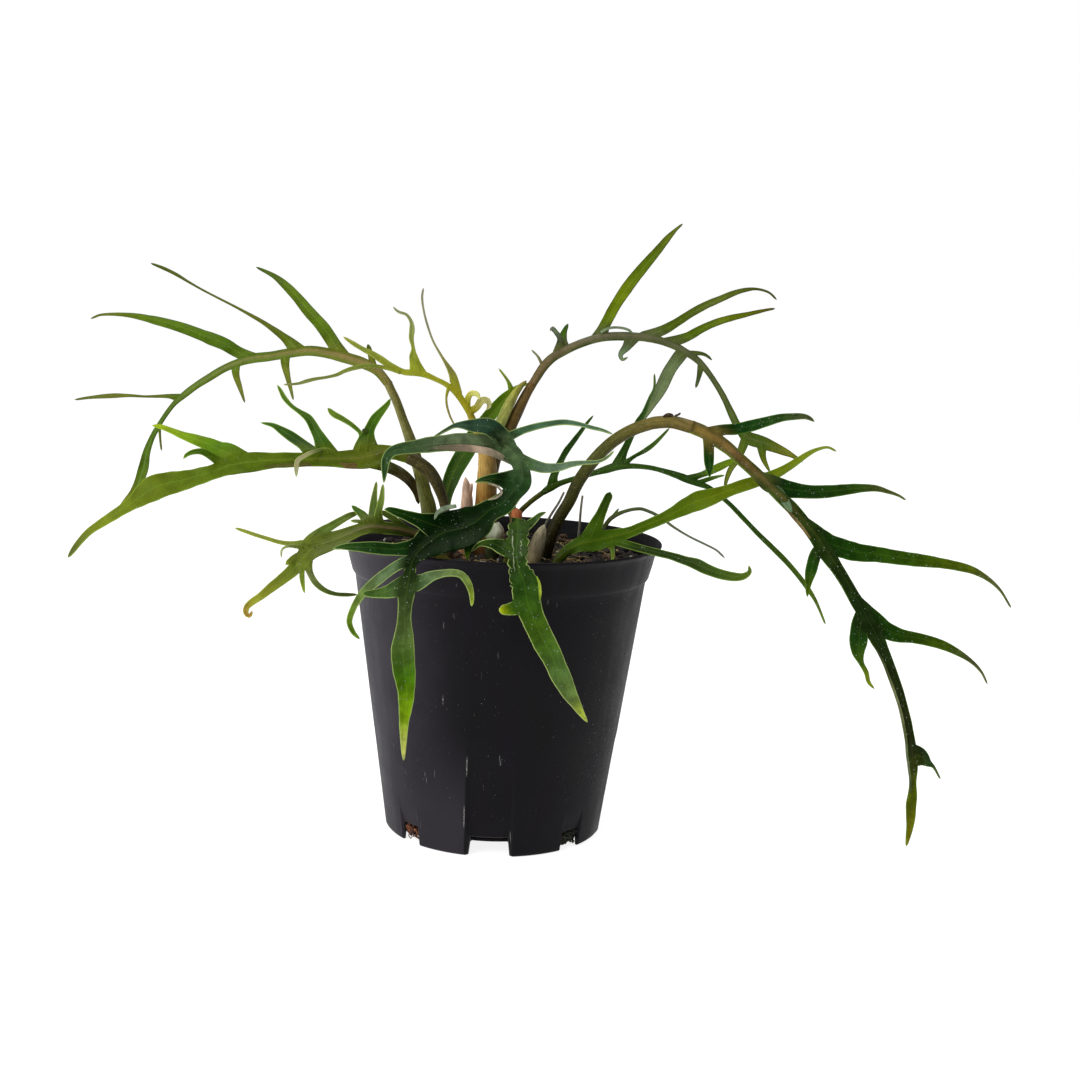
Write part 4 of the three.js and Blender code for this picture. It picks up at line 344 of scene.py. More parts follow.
            (14.6, 75.8, -69, 8.8), (17.6, 70, -69.5, 8.8), (20.6, 64.8, -70, 8.5), (23, 59.7, -70, 8),
            (25.3, 55.3, -70, 7.1), (27.6, 51, -70, 5.7), (30, 47.3, -70, 4.3), (32.2, 43.8, -70, 2.8),
            (35, 39.8, -70, 0.8)],
        "lobes": [
            (-2, [(9.6, 85.5, 8), (5.6, 83.2, 5.4), (2.4, 82.5, 4.3), (-0.2, 82.4, 3.4)]),
            (-2, [(9.5, 91, 8), (13, 91.6, 6.4), (15.2, 91.6, 4.6)]),
            (5, [(5.8, 105, 7), (1, 106.2, 6.4), (-3.7, 107.5, 4), (-8.3, 107.2, 2), (-11.4, 104.3, 1)]),
            (9, [(5.9, 111, 5), (9, 114.4, 3.8), (11.8, 117, 2.6), (14, 119.2, 1.7), (16.2, 120.2, 0.8)]),
        ],
    },
    # Leaf L, the plain dark blade behind the middle.
    "leaf_l": {
        "lean": (-0.4, 0.2),
        "stalk": [(-20, 96, 14, 3), (-21, 108, 14.5, 3), (-21.8, 118, 15, 3)],
        "rib": [(-21.8, 118, 15, 3), (-21.1, 126, 16, 4.6), (-18.7, 134, 17, 6.4), (-15.1, 141, 18, 6.8),
            (-11.8, 147.4, 19, 6), (-8.3, 152.6, 20, 5.2), (-4.6, 157.4, 21, 4.8), (-1.2, 161.6, 22, 4),
            (2.3, 165, 23, 2.6), (5.6, 167.2, 24, 1.5), (8, 168, 24, 0.8)],
        "lobes": [
            (4, [(1.8, 164.6, 2.6), (0.4, 168.4, 1.3), (-3.2, 173, 0.7)]),
        ],
    },
    # Leaf M, a thread-thin leaf behind on the right.
    "leaf_m": {
        "lean": (0, 0.4),
        "stalk": [(34, 97, 12, 1.8), (35.6, 108, 12, 1.8), (38.2, 115.5, 12, 1.6)],
        "rib": [(38.2, 115.5, 12, 1.6), (40.8, 119, 12, 1.7), (45.3, 121.5, 12, 1.4),
            (51.2, 122.8, 12, 1.3), (55.3, 121.7, 12, 1.2), (59.3, 119.8, 12, 1.1), (64.2, 116.4, 12, 0.9),
            (70.3, 113, 12, 0.8), (77, 110, 12, 0.8), (81, 108, 12, 0.8), (84, 105.3, 12, 0.7)],
        "lobes": [
            (2, [(40.6, 118.8, 1.2), (43.4, 122.6, 0.8)]),
        ],
    },
}

# Stalks that rise straight from the soil, written as the leaves' stalks are.
SHOOTS = {
    "stem": [(-6.6, 92, 0, 8.4), (-6.5, 110, 0, 8.2), (-6.3, 128, 0, 7.8), (-6.6, 140, 0, 6.6),
             (-8.6, 145.6, 0, 4.2)],
    "sheath": [(-14.4, 95, -2, 4), (-14, 110, -2, 4.6), (-13.6, 122, -2, 4.6), (-13.9, 129, -2, 3),
               (-14.4, 132.4, -2, 0.9)],
    "stub": [(5.6, 94, -16, 3.6), (5.5, 106, -16, 4.2), (5.3, 116, -16, 4.4), (5.2, 121.3, -16, 4)],
    "bract": [(-4.4, 94, -13, 3), (-3.4, 106, -13, 6), (-2.2, 112.5, -13, 6.4), (-1.4, 115.8, -13, 2.6)],
    "cataphyll": [(11, 94, -23, 3.4), (12.4, 104, -23, 5.4), (14.2, 111, -23, 4.6),
                  (15.8, 115.5, -23, 1.6)],
    "thread_left": [(14, 97, 5, 1.2), (15.3, 113, 5, 1.1), (17.8, 118.8, 5, 1), (20.8, 124, 5, 0.9),
                    (22.6, 128, 5, 0.8)],
    "thread_right": [(28, 97, 3, 1.1), (28.9, 115, 3, 1), (29.2, 122, 3, 0.9), (29.6, 127, 3, 0.8)],
}


def linear(code):
    """Linear red, green and blue of a six-digit colour code, by the usual screen curve."""
    parts = np.array([int(code[i:i + 2], 16) for i in (0, 2, 4)]) / 255
    return np.where(parts <= 0.04045, parts / 12.92, ((parts + 0.055) / 1.055) ** 2.4)


def ramp(codes, share):
    """Colour at each share from 0 to 1 along evenly spaced colour codes, blended in between."""
    stops = np.array([linear(code) for code in codes.split()])
    places = np.linspace(0, 1, len(stops))
    return np.stack([np.interp(share, places, stops[:, k]) for k in range(3)], -1)


def seen(x, z, y):
    """Place in space of a point seen at x, z at depth y: its line of sight, stretched by 1 + y / 550."""
    scale = 1 + y / -EYE[1]
    return np.stack([EYE[0] + (x - EYE[0]) * scale, y, EYE[2] + (z - EYE[2]) * scale], -1)


def smooth(points, shares):
    """Rows of a curve at shares of its length: cubic steps whose slopes join each point's neighbours."""
    rows = np.asarray(points, float)
    gaps = np.hypot(np.diff(rows[:, 0]), np.diff(rows[:, 1])) + 1e-3
    knots = np.concatenate([[0], np.cumsum(gaps)])
    order = np.arange(len(rows))
    before, after = np.maximum(order - 1, 0), np.minimum(order + 1, len(rows) - 1)
    slopes = (rows[after] - rows[before]) / (knots[after] - knots[before])[:, None]
    at = np.asarray(shares) * knots[-1]
    i = np.clip(np.searchsorted(knots, at, side="right") - 1, 0, len(rows) - 2)
    step, t = gaps[i][:, None], ((at - knots[i]) / gaps[i])[:, None]
    return ((2 * t**3 - 3 * t**2 + 1) * rows[i] + (t**3 - 2 * t**2 + t) * step * slopes[i]
            + (3 * t**2 - 2 * t**3) * rows[i + 1] + (t**3 - t**2) * step * slopes[i + 1])


def seen_length(points):
    """Length of a line of points as it is seen, corner to corner."""
    rows = np.asarray(points, float)
    return float(np.hypot(np.diff(rows[:, 0]), np.diff(rows[:, 1])).sum())


def unit(vectors):
    """Vectors made one long."""
    return vectors / np.maximum(np.linalg.norm(vectors, axis=-1, keepdims=True), 1e-9)


def step_up(value, low, high):
    """0 below low, 1 above high, and a smooth S between."""
    t = np.clip((value - low) / (high - low), 0, 1)
    return t * t * (3 - 2 * t)


def wander(share, rng, waves=4):
    """A slow random line along shares: the sum of a few sines with random phases, about -1 to 1."""
    total = np.zeros_like(share, float)
    for k in range(1, waves + 1):
        total += np.sin(2 * np.pi * k * share * rng.uniform(0.7, 1.3) + rng.uniform(0, 6.28)) / k
    return total / 1.6


def closed_tube(rings, **values):
    """Faces of rings (rows, points round, 3) joined in order, with a pole in each end's middle.

    Each named value is one number or vector for every point; a pole has its ring's mean."""
    rows, around = rings.shape[:2]
    i, k = np.meshgrid(np.arange(rows - 1), np.arange(around), indexing="ij")
    after = (k + 1) % around
    quads = np.stack([i * around + k, (i + 1) * around + k, (i + 1) * around + after,
                      i * around + after], -1).reshape(-1, 4)
    k = np.arange(around)
    after = (k + 1) % around
    first, last, end = rows * around, rows * around + 1, (rows - 1) * around
    fans = np.concatenate([np.stack([first + 0 * k, k, after], -1),
                           np.stack([last + 0 * k, end + after, end + k], -1)])

    def with_poles(grid):
        return np.concatenate([grid.reshape(-1, grid.shape[-1]), grid[0].mean(0)[None],
                               grid[-1].mean(0)[None]])

    part = {name: with_poles(value) for name, value in values.items()}
    return {"points": with_poles(rings), "quads": quads, "fans": fans, **part}


def make_piece(name, parts, material, slot, *nodes):
    """One smooth mesh from closed parts, with their values as point attributes. It rides on the root
    body, and stands for the CAD nodes named."""
    counts = np.cumsum([0] + [len(part["points"]) for part in parts])
    points = np.concatenate([part["points"] for part in parts]) * MM
    quads = np.concatenate([part["quads"] + n for part, n in zip(parts, counts)])
    fans = np.concatenate([part["fans"] + n for part, n in zip(parts, counts)])
    mesh = bpy.data.meshes.new(name)
    mesh.from_pydata(points.tolist(), [], quads.tolist() + fans.tolist())
    for key in parts[0]:
        if key in ("points", "quads", "fans"):
            continue
        values = np.concatenate([part[key] for part in parts]).astype(np.float32)
        colour = values.shape[1] == 4
        layer = mesh.attributes.new(key, "FLOAT_COLOR" if colour else "FLOAT_VECTOR", "POINT")
        layer.data.foreach_set("color" if colour else "vector", values.ravel())
    mesh.polygons.foreach_set("use_smooth", [True] * len(mesh.polygons))
    mesh.materials.append(material)
    piece = bpy.data.objects.new(name, mesh)
    bpy.context.scene.collection.objects.link(piece)
    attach(piece, "root")
    if nodes:
        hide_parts(*nodes)


# How far each column of a blade lies from its middle, in half widths.
ACROSS = np.array([-1, -0.94, -0.8, -0.6, -0.38, -0.16, 0, 0.16, 0.38, 0.6, 0.8, 0.94, 1])
# Millimetres from one row of a blade or stalk to the next.
ROW_GAP = 0.8
# The least width of a blade and of a stalk.
LEAST_BLADE, LEAST_STALK = 0.55, 0.75
# Over how many millimetres a blade's tip closes in a round.
TIP_ROUND = 1.1
# How ragged a blade's width is, as a share of it, and over how many millimetres that repeats.
RAGGED, RAGGED_RUN = 0.045, 23
# From where to where along a rib its frill dies out, as shares of its length, and how close the
# frill's teeth stand.
FRILL_FADES, TEETH = (0.22, 0.42), 1.15
# How strongly a blade twists along its length.
TWIST = 0.22
# Over how many millimetres a lobe turns from along its mother rib to square on its own line.
LOBE_TURN = 8
# Over how many millimetres out from its rib a lobe takes its own depth and colour.
WEB = 5.0
# How many millimetres nearer or farther a lobe's end gets for each one of its number.
LOBE_SPREAD = 1.7
# Millimetres from a midrib that lie beyond it on every leaf.
FAR_ASIDE = 9
# A blade's thickness near the margin, how much thinner that is on a lobe, and the groove's depth
# along the midrib.
EDGE_THICKNESS, LOBE_THINNER, GROOVE = 0.42, 0.08, 0.1


def spine(rows, fold, wave, rng, grip=0.0, mother=None, frill=0.0):
    """The values of a blade row by row along (x, z, depth, width): its place, its heading and the
    direction across it, half its width, which is a little ragged and blunt at the tip, and its fold,
    twist and wave. A lobe's first rows lie along its mother rib, and then turn square. A frill adds
    small teeth and a stronger wave over the first third."""
    length = seen_length(rows)
    u = np.linspace(0, 1, int(np.clip(length / ROW_GAP, 16, 300)) + 1)
    line = smooth(rows, u)
    along = u * length
    blunt = np.sqrt(np.clip((length - along + 0.05) / TIP_ROUND, 0, 1))
    ragged = 1 + RAGGED * wander(along / RAGGED_RUN, rng, 5)
    crisp = frill * (1 - step_up(u, *FRILL_FADES))
    ragged = ragged + crisp * (np.abs(np.sin(along * TEETH)) - 0.5 + 0.4 * wander(along / 9, rng, 3))
    half = 0.5 * np.maximum(line[:, 3], LEAST_BLADE) * ragged * blunt
    free = step_up(along, grip, grip + 7)
    heading = unit(np.gradient(line[:, :2], axis=0))
    side = np.stack([-heading[:, 1], heading[:, 0]], -1)
    if mother:
        near = np.argmin(np.hypot(*(mother["spot"] - line[0, :2]).T))
        run = mother["heading"][near]
        lies = side[0] @ run
        if abs(lies) > 0.3:
            share = 1 - step_up(along, 0.5, min(LOBE_TURN, length / 2))[:, None]
            turned_side = unit(side + (run * np.sign(lies) - side) * share)
            half = half / np.maximum((turned_side * side).sum(1), 0.6)
            side = turned_side
    return {"u": u, "along": along, "spot": line[:, :2], "depth": line[:, 2], "half": half,
            "heading": heading, "side": side, "free": free, "fold": fold,
            "twist": TWIST * wander(u, rng, 3), "wave": wave + crisp, "pace": rng.uniform(1.5, 2.4),
            "turns": rng.uniform(0, 6.28, 2)}


def depth_across(made, i, aside, lean):
    """Depth of row i at a distance aside from its middle: the lean's slope, a fold that brings both
    edges towards the eye, a slow twist and a wave along each edge."""
    side, half = made["side"][i], made["half"][i]
    share = np.abs(np.clip(aside / half, -1, 1))
    slope = aside * (lean[0] * side[..., 0] + lean[1] * side[..., 1])
    turns = np.where(aside < 0, *made["turns"])
    ripple = made["wave"][i] * half * share**2 * np.sin(made["along"][i] / made["pace"] + turns)
    bend = made["twist"][i] * aside - made["fold"] * half * share**1.5 + ripple
    return made["depth"][i] + slope + made["free"][i] * bend


def nearest_row(made, x, z):
    """For each seen point the nearest row of a spine, and its signed distance from the middle there."""
    from_x, from_z = x[..., None] - made["spot"][:, 0], z[..., None] - made["spot"][:, 1]
    i = np.argmin(from_x**2 + from_z**2, -1)
    from_x, from_z = x - made["spot"][i, 0], z - made["spot"][i, 1]
    heading = made["heading"][i]
    far = np.hypot(from_x, from_z)
    side = np.sign(from_z * heading[..., 0] - from_x * heading[..., 1])
    return i, far * side


def both_faces(top, low):
    """Rings of a blade: its top from edge to edge, then its underside back between the edges."""
    return np.concatenate([top, low[:, -2:0:-1]], 1)


def blade(made, lean, core, tones, rim, mother=None, mother_tones=None, lobes=()):
    """A thin closed blade on a spine.

    Its middle surface is row i moved v half widths aside. The two faces lie half a thickness off
    along the normal: thickest on the midrib, and nothing at the edges. Where a lobe starts inside
    its mother rib it has the rib's depth and colour, and takes its own further out. The margin
    fades where one blade grows out of another."""
    rows = np.arange(len(made["u"]))[:, None] + 0 * ACROSS.astype(int)
    half = made["half"][:, None]
    aside = half * ACROSS
    x = made["spot"][:, :1] + made["side"][:, :1] * aside
    z = made["spot"][:, 1:] + made["side"][:, 1:] * aside
    depth = depth_across(made, rows, aside, lean)
    colour = tones(made["u"][:, None] + 0 * aside, aside)
    margin = np.full(aside.shape, rim[1])
    if mother:
        near, off = nearest_row(mother, x, z)
        beyond = np.abs(off) - mother["half"][near]
        left = step_up(made["along"], 5, 12)[:, None]
        own = np.maximum(step_up(beyond, 0, WEB), left)
        held = depth_across(mother, near, np.clip(off, -FAR_ASIDE, FAR_ASIDE), lean)
        depth = held + (depth - held) * own
        own = np.maximum(step_up(beyond, -0.5, WEB), left)[..., None]
        green = mother_tones(mother["u"][near], FAR_ASIDE + 0 * off)
        colour = green * (1 - own) + colour * own
        margin = margin * np.maximum(step_up(beyond, 0.1, 1.4), left)
    for lobe in lobes:
        near, off = nearest_row(lobe, x, z)
        margin = margin * step_up(np.abs(off) - lobe["half"][near], -0.2, 0.7)
    middle = seen(x, z, depth)
    normal = unit(np.cross(np.gradient(middle, axis=0), np.gradient(middle, axis=1)))
    thick = np.interp(made["u"], np.linspace(0, 1, len(core)), core)[:, None]
    edge = EDGE_THICKNESS - (LOBE_THINNER if mother else 0)
    full = edge + (thick - edge) * np.exp(-(aside / (0.5 * thick + 0.2)) ** 2)
    full = np.minimum(full, 1.7 * half) * np.sqrt(1 - 0.995 * ACROSS**6)
    groove = GROOVE * np.exp(-(aside / 0.3) ** 2) * step_up(half, 0.9, 1.8)
    top = middle + normal * (full / 2 - groove)[..., None]
    low = middle - normal * (full / 2)[..., None]
    place = np.stack([made["along"][:, None] + 0 * aside, aside, half - np.abs(aside)], -1)
    upper = np.concatenate([colour, np.zeros((*aside.shape, 1))], -1)
    under = np.concatenate([colour, np.ones((*aside.shape, 1))], -1)
    rims = np.concatenate([np.broadcast_to(linear(rim[0]), colour.shape), margin[..., None]], -1)
    return closed_tube(both_faces(top, low), place=both_faces(place, place),
                       tone=both_faces(upper, under), rim=both_faces(rims, rims))


# How many points stand round a stalk, and its sets of lumps: how many go round, and how long they
# are in millimetres.
STALK_ROUND = 20
STALK_LUMPS = ((2, 9), (3, 4), (5, 2.2), (7, 1.3))


def stalk(rows, codes, rng, lumps=0.03, blunt_start=0.0, blunt_end=0.0, shade=0.25):
    """A round stalk along rows of (x, z, depth, width).

    Each ring is the width's circle, square to the path, times 1 plus random lumps and one shallow
    groove. Blunt ends shrink over that many millimetres as a quarter circle does. The tone is
    darker by the shade towards the right of the ring: painted shade on the side turned away from the
    light on the left."""
    length = seen_length(rows)
    u = np.linspace(0, 1, int(max(length / ROW_GAP, 12)) + 1)
    line = smooth(rows, u)
    path = seen(line[:, 0], line[:, 1], line[:, 2])
    ahead = unit(np.gradient(path, axis=0))
    right = unit(np.cross([0, 1, 0], ahead))
    front = np.cross(right, ahead)
    turn = np.linspace(0, 2 * np.pi, STALK_ROUND, endpoint=False)
    along = u * length
    size = 0.5 * np.maximum(line[:, 3], LEAST_STALK) * (1 + line[:, 2] / -EYE[1])
    for blunt, left in ((blunt_start, along), (blunt_end, length - along)):
        if blunt:
            near = 1 - np.clip(left / blunt, 0, 1)
            size = size * np.sqrt(np.maximum(1 - near**2, 0.02))
    bumps = np.zeros((len(u), STALK_ROUND))
    for wide, tall in STALK_LUMPS:
        bumps += np.sin(wide * turn + rng.uniform(0, 6.28) + along[:, None] / tall
                        + 1.5 * np.sin(along[:, None] / (tall * 2.3) + rng.uniform(0, 6.28)))
    groove = np.exp(-((turn - rng.uniform(3.6, 5.4)) / 0.4) ** 2)
    radius = size[:, None] * (1 + lumps * bumps / 2 - 0.09 * groove)
    rings = (path[:, None] + radius[..., None]
             * (right[:, None] * np.cos(turn)[:, None] + front[:, None] * np.sin(turn)[:, None]))
    place = np.stack([along[:, None] + 0 * radius, radius * turn, 0 * radius], -1)
    colour = ramp(codes, u[:, None] + 0 * radius)
    # Painted shade: the right of each ring, turned away from the light on the left, is made darker.
    colour = colour * (1 - shade * step_up(np.cos(turn), -0.5, 0.9))[:, None]
    tone = np.concatenate([colour, np.zeros((*radius.shape, 1))], -1)
    return closed_tube(rings, place=place, tone=tone, rim=0 * tone)


def lobe_rows(rib, points, out):
    """Rows of a lobe: it starts at the depth of the rib's nearest place, and goes LOBE_SPREAD * out
    deeper in step with its length."""
    rows = np.asarray(points, float)
    line = smooth(rib, np.linspace(0, 1, 600))
    near = np.argmin(np.hypot(line[:, 0] - rows[0, 0], line[:, 1] - rows[0, 1]))
    steps = np.hypot(np.diff(rows[:, 0]), np.diff(rows[:, 1]))
    share = np.concatenate([[0], np.cumsum(steps)]) / steps.sum()
    return np.column_stack([rows[:, :2], line[near, 2] + LOBE_SPREAD * out * share, rows[:, 2]])


def earlier(rows, back):
    """Rows with their first point moved back along the line, so that it sits inside what it grows from."""
    rows = np.asarray(rows, float)
    ahead = unit((rows[1] - rows[0])[None, :3])[0]
    first = rows[0] - np.append(back * ahead, 0)
    return np.concatenate([first[None], rows])


def laid_on(rows, spines, lean, nearer):
    """Rows of a strip of (x, z, width) that lies on a leaf: the depth of the spine that each point is
    nearest to or inside, less a small step towards the eye."""
    rows = np.asarray(rows, float)
    depth, least = np.zeros(len(rows)), np.full(len(rows), np.inf)
    for made in spines:
        near, off = nearest_row(made, rows[:, 0], rows[:, 1])
        gap = np.abs(off) - made["half"][near]
        here = depth_across(made, near, off, lean)
        depth, least = np.where(gap < least, here, depth), np.minimum(gap, least)
    return np.column_stack([rows[:, :2], depth - nearer, rows[:, 2]])


DROP_SIDES = 6


def drop(place, normal, size):
    """One drop: a low dome of a few sides on a skin, along its normal."""
    across = unit(np.cross(normal, [0.31, 0.52, 0.8]))
    over = np.cross(normal, across)
    turn = np.linspace(0, 2 * np.pi, DROP_SIDES, endpoint=False)[:, None]
    ring = across * np.cos(turn) - over * np.sin(turn)
    rings = np.stack([ring - 0.25 * normal, ring * 0.78 + 0.45 * normal])
    return closed_tube(place + size * rings)


def dew(parts, count, rng, sizes):
    """Drops at random places on the faces that look towards the eye, more of them on large faces."""
    corners = np.concatenate([part["points"][part["quads"]] for part in parts])
    across = np.cross(corners[:, 2] - corners[:, 0], corners[:, 3] - corners[:, 1])
    middle, normal = corners.mean(1), unit(across)
    facing = np.clip((normal * unit(np.array(EYE) - middle)).sum(1), 0.0, 1)
    weight = np.linalg.norm(across, axis=1) * np.where(facing > 0.2, facing, 0)
    chosen = rng.choice(len(weight), count, p=weight / weight.sum())
    return [drop(middle[k], normal[k], rng.uniform(*sizes)) for k in chosen]


# The looks of each leaf, written as colour codes from its root to its tip.
# axis: the thick middle of its rib; wing: the thin green beside it; lobes: codes for each lobe.
# rim: colour and strength of the thin margin; core: the rib's thickness from root to tip.
# fold: how far a blade's edges come towards the eye; frill: how strongly the rib's root is crisped.
LOOKS = {
    "leaf_a": {
        "stalk": "4a5018 5c6022 686a2c 6c6a32 6c6630",
        "axis": "706430 76643a 6e6436 64622e 5c6630 4f6424 456420 4a661c 6f7f34",
        "wing": "635f14 585f11 4f5c0f 475b0b 475b0b 475b0b 41570d 445b0b 7d771e",
        "lobes": ["3c5204 4c6406 4c6206 3a5006", "445806 565810 4f5614 3e480c",
                  "345002 466204 4c6406 5c5c12", "64701a 70742a", "64701a 70742a",
                  "4c5410 5c6014 4a520e", "5c5414 645818", "3f5006 3f5006"],
        "rim": ("34440c", 0.45), "core": (2.9, 2.3, 1.7, 1.1, 0.8), "fold": 0.3,
    },
    "leaf_b": {
        "stalk": "3f3a1e 4a4022 544a2a 4c4424 46401c",
        "axis": "54501e 5c601c 5e681c 5a6c18 566c14 566c14 5a6c14 707e1c 444624",
        "wing": "4c5614 505c10 4e6010 4e620e 52660c 56680e 5a680e 707c14 40421c",
        "lobes": ["406206 4c6e04 6c8806 8a9c0c", "3c5e08 3a5a08 466806", "24440a 2c4e0a 38580c 4c6810",
                  "1c3a06 224206 2e5008", "34500e 405c12 5a7018", "2c4c0a 2c4e08 3a5e08 4c680c",
                  "4e561c 5c5828 74643c 7c6a40", "5c6c1c 908c60 a0967a"],
        "rim": ("85a62f", 0.5), "core": (2.5, 1.6, 1.2, 0.9, 0.7), "fold": 0.22,
    },
    "leaf_c": {
        "stalk": "6e6b29 72712b 787635",
        "axis": "5c4a2c 746040 6c6640 646a30 5c6a24 5c6a20 666f22 848828 8a4c22",
        "wing": "2c3a12 3c4c12 545f1c 58641e 58641c 5c6a1e 6c7420 8a8c28 8b5225",
        "lobes": ["5c6c1c 6e7428 808432", "5c7a12 84981a a4b020", "4c6a14 5c7420 66782c",
                  "24400c 2c4a14 34501c", "34500e 44581c 5c6a2c", "3c5614 4c6020 5c6a2c",
                  "4c6a14 6c7e24", "6c7448 5c6e2c 4c5a30",
                  "5c6a2c 4c5e20 5c7028", "4c5c34 5c6848", "4c6a14 70744c 8a8a78"],
        "rim": ("99ad48", 0.5), "core": (2.2, 1.5, 1.0, 0.8, 0.6), "fold": 0.25,
    },
    # The paler grey-green codes of leaf D, at its rib's root and on its upper lobes, are a painted sheen.
    "leaf_d": {
        "stalk": "5f522a 6f603a 6f603a",
        "axis": "566a46 2c4628 0c2408 041c04 021a03 2c3c1c 4e6230 40680a 74900c b8b460",
        "wing": "4c603e 24401e 0a2006 031903 021602 2a3a1a 4c602e 3c6408 6c8c0a b8b460",
        "lobes": ["0a240a 0a2408 1c3a10", "041c04 062004 245004 6c9010",
                  "041a04 062205 183c0a", "062005 10300c 1c3c12 30501c",
                  "344c2c 586c48 5c7428 5c8010", "34502c 3c5424 34501c", "34502c 566a44 64783c 8ea020",
                  "50643e 5c6a4c 38502e 1c3a1c", "1c3824 283f30 384c3c", "2c4c2c 3a5640 42604a",
                  "445c3e 526650 42583e"],
        "rim": ("94a860", 0.7), "core": (2.6, 1.6, 1.2, 0.9, 0.7), "fold": 0.2,
    },
    "leaf_f": {
        "stalk": "3c4810 504a18 604e20 664e22",
        "axis": "68503a 6a5c44 665e4a 605c46 5a5c42 565c3c 525c34 4c5a2a 707428",
        "wing": "5c4a28 585832 545a36 525a34 50582e 4e5a26 485a1c 445814 8a8620",
        "lobes": ["526602 627404 4e620a 5e6816", "465a0c 4c5c10 546018 4c5018", "465c04 4c6004 606c06 54440c",
                  "30460c 38501c", "405426 4c5c30", "546440 64704c 6a7850", "546a44 748866",
                  "34540c 2c4a0a", "4c5c3c 6c7660", "8a8c58 9a9a70", "4c600c 6c7418", "4c6014 6c7420"],
        "rim": ("2c3a0c", 0.7), "core": (2.9, 2.2, 1.7, 1.2, 0.8), "fold": 0.28,
    },
    "leaf_g": {
        "stalk": "1a1206 2c260a 3e3e10 4a4c14 60561e 6a5a28",
        "axis": "6c5a28 705630 504a24 303a14 1c2c0c 10240a 10220a 161f0c 1c1a10 3c4408 706c08",
        "wing": "645626 544c24 34401a 20340c 1c2c0c 182a0a 1c2a0e 20260e 1c260c 485404 706c0c",
        "lobes": ["0c2808 12380e 264418 4c4c30", "0c2c0a 12340e 1c3c12", "0c2806 12340a 243e0c 54502c",
                  "0c2606 1a3c08 2e4a08 50600a 605048", "0c2606 1a3a08 3c5208 605048",
                  "12300a 1c400c 4c600c", "0e2a08 1c3e0e 3c5810 88901c", "0e2a0a 16320c 4c4c38"],
        "rim": ("5c7c28", 0.6), "core": (3.1, 2.6, 2.1, 1.6, 1.2, 0.8), "fold": 0.25,
    },
    "leaf_h": {
        "stalk": "363808 3e4706 415805",
        "axis": "3c5404 445a02 4a6002 506404 606e08 6a7608 727c10 7a8414",
        "wing": "304a04 385402 405a02 4a6004 586a04 5e7004 68780a 748410",
        "lobes": ["385202 304a02 1a3402", "4a6004 607008", "182e04 142804 182c06 2c4208 485a16"],
        "rim": ("78903c", 0.6), "core": (1.9, 1.3, 1.0, 0.8, 0.6), "fold": 0.25,
    },
    "leaf_i": {
        "stalk": "534f18 5d5d1d 535d18",
        "axis": "344a10 28440c 244008 1e3c0a 24400c 324c0e 485f14 5c7018",
        "wing": "284408 20400a 1c3a08 1c3a08 20400a 2c480c 3c5610 64761a",
        "lobes": ["24440c 183a0a 16360a 284a12", "1e3e0c 163608 1c3c10 4c5a2c", "203e0c 2c480e 3a5416",
                  "3a5a0c 5a7810 728a14", "34540c 5a7810"],
        "rim": ("53762c", 0.4), "core": (1.7, 1.2, 0.9, 0.7, 0.6), "fold": 0.25,
    },
    "leaf_j": {
        "stalk": "9c7c14 b0941c a89420 9c9020",
        "axis": "a0941c 9c941c 94921e 8c8c1e 8a8c20 828824 7c8830 888c38",
        "wing": "989220 949222 8c9024 8a9022 868e28 80882c 7c8a34 888c38",
        "lobes": ["6e7c24 6c7a34 747a48", "78821c 7c8628 7a8450 6c725a", "746e20 747440 6e7060 74756a",
                  "786e2c 766c40", "a8a030 c8c878", "b0a440 d0d090"],
        "rim": ("cfc564", 0.15), "core": (1.8, 1.2, 0.9, 0.7, 0.5), "fold": 0.3,
    },
    "leaf_k": {
        "stalk": "585d1f 585d21 536327",
        "axis": "344e18 2c4810 1e3c0a 28480c 34520e 3c5c18 4a682c 5c7038 a4b030",
        "wing": "2a4412 2a4010 1e360c 284610 344e0e 3c581a 4c6630 5c7038 acb838",
        "lobes": ["2c5408 508004 a0a814", "224c08 306008 647a18", "102c06 142e0a 3c5418",
                  "243c14 2c4418 3c5424"],
        "rim": ("98a860", 0.85), "frill": 0.3, "core": (2.0, 1.3, 1.0, 0.9, 0.7), "fold": 0.18,
    },
    "leaf_l": {
        "stalk": "575917 475915 3d5915",
        "axis": "34440c 344a0a 344c08 3c5206 4a5c08 64700c",
        "wing": "1c3806 1c3a06 28480a 3c5a08 4c6c08 6c7c10",
        "lobes": ["516512 72781d"],
        "rim": ("678d2c", 0.5), "core": (1.6, 1.1, 0.8, 0.6), "fold": 0.35,
    },
    "leaf_m": {
        "stalk": "4a4c28 505434 505434",
        "axis": "505c34 566238 5c6848 6c7458 747a68 7a7c70",
        "wing": "505c34 566238 5c6848 6c7458 747a68 7a7c70",
        "lobes": ["647140 717e4d"],
        "rim": ("647143", 0.0), "core": (1.3, 0.8, 0.6), "fold": 0.2,
    },
}


def crisped(start, end, sway, turns):
    """Rows of a thin crinkled line from start to end: it sways from side to side in a sine whose
    height and pace drift."""
    share = np.linspace(0, 1, 40)
    swing = np.sin(6.28 * turns * (share + 0.06 * np.sin(9 * share)))
    aside = sway * swing * (0.6 + 0.4 * np.cos(13 * share))
    x = start[0] + (end[0] - start[0]) * share + aside
    z = start[1] + (end[1] - start[1]) * share
    return np.column_stack([x, z, 0.38 + 0.12 * np.sin(17 * share)])


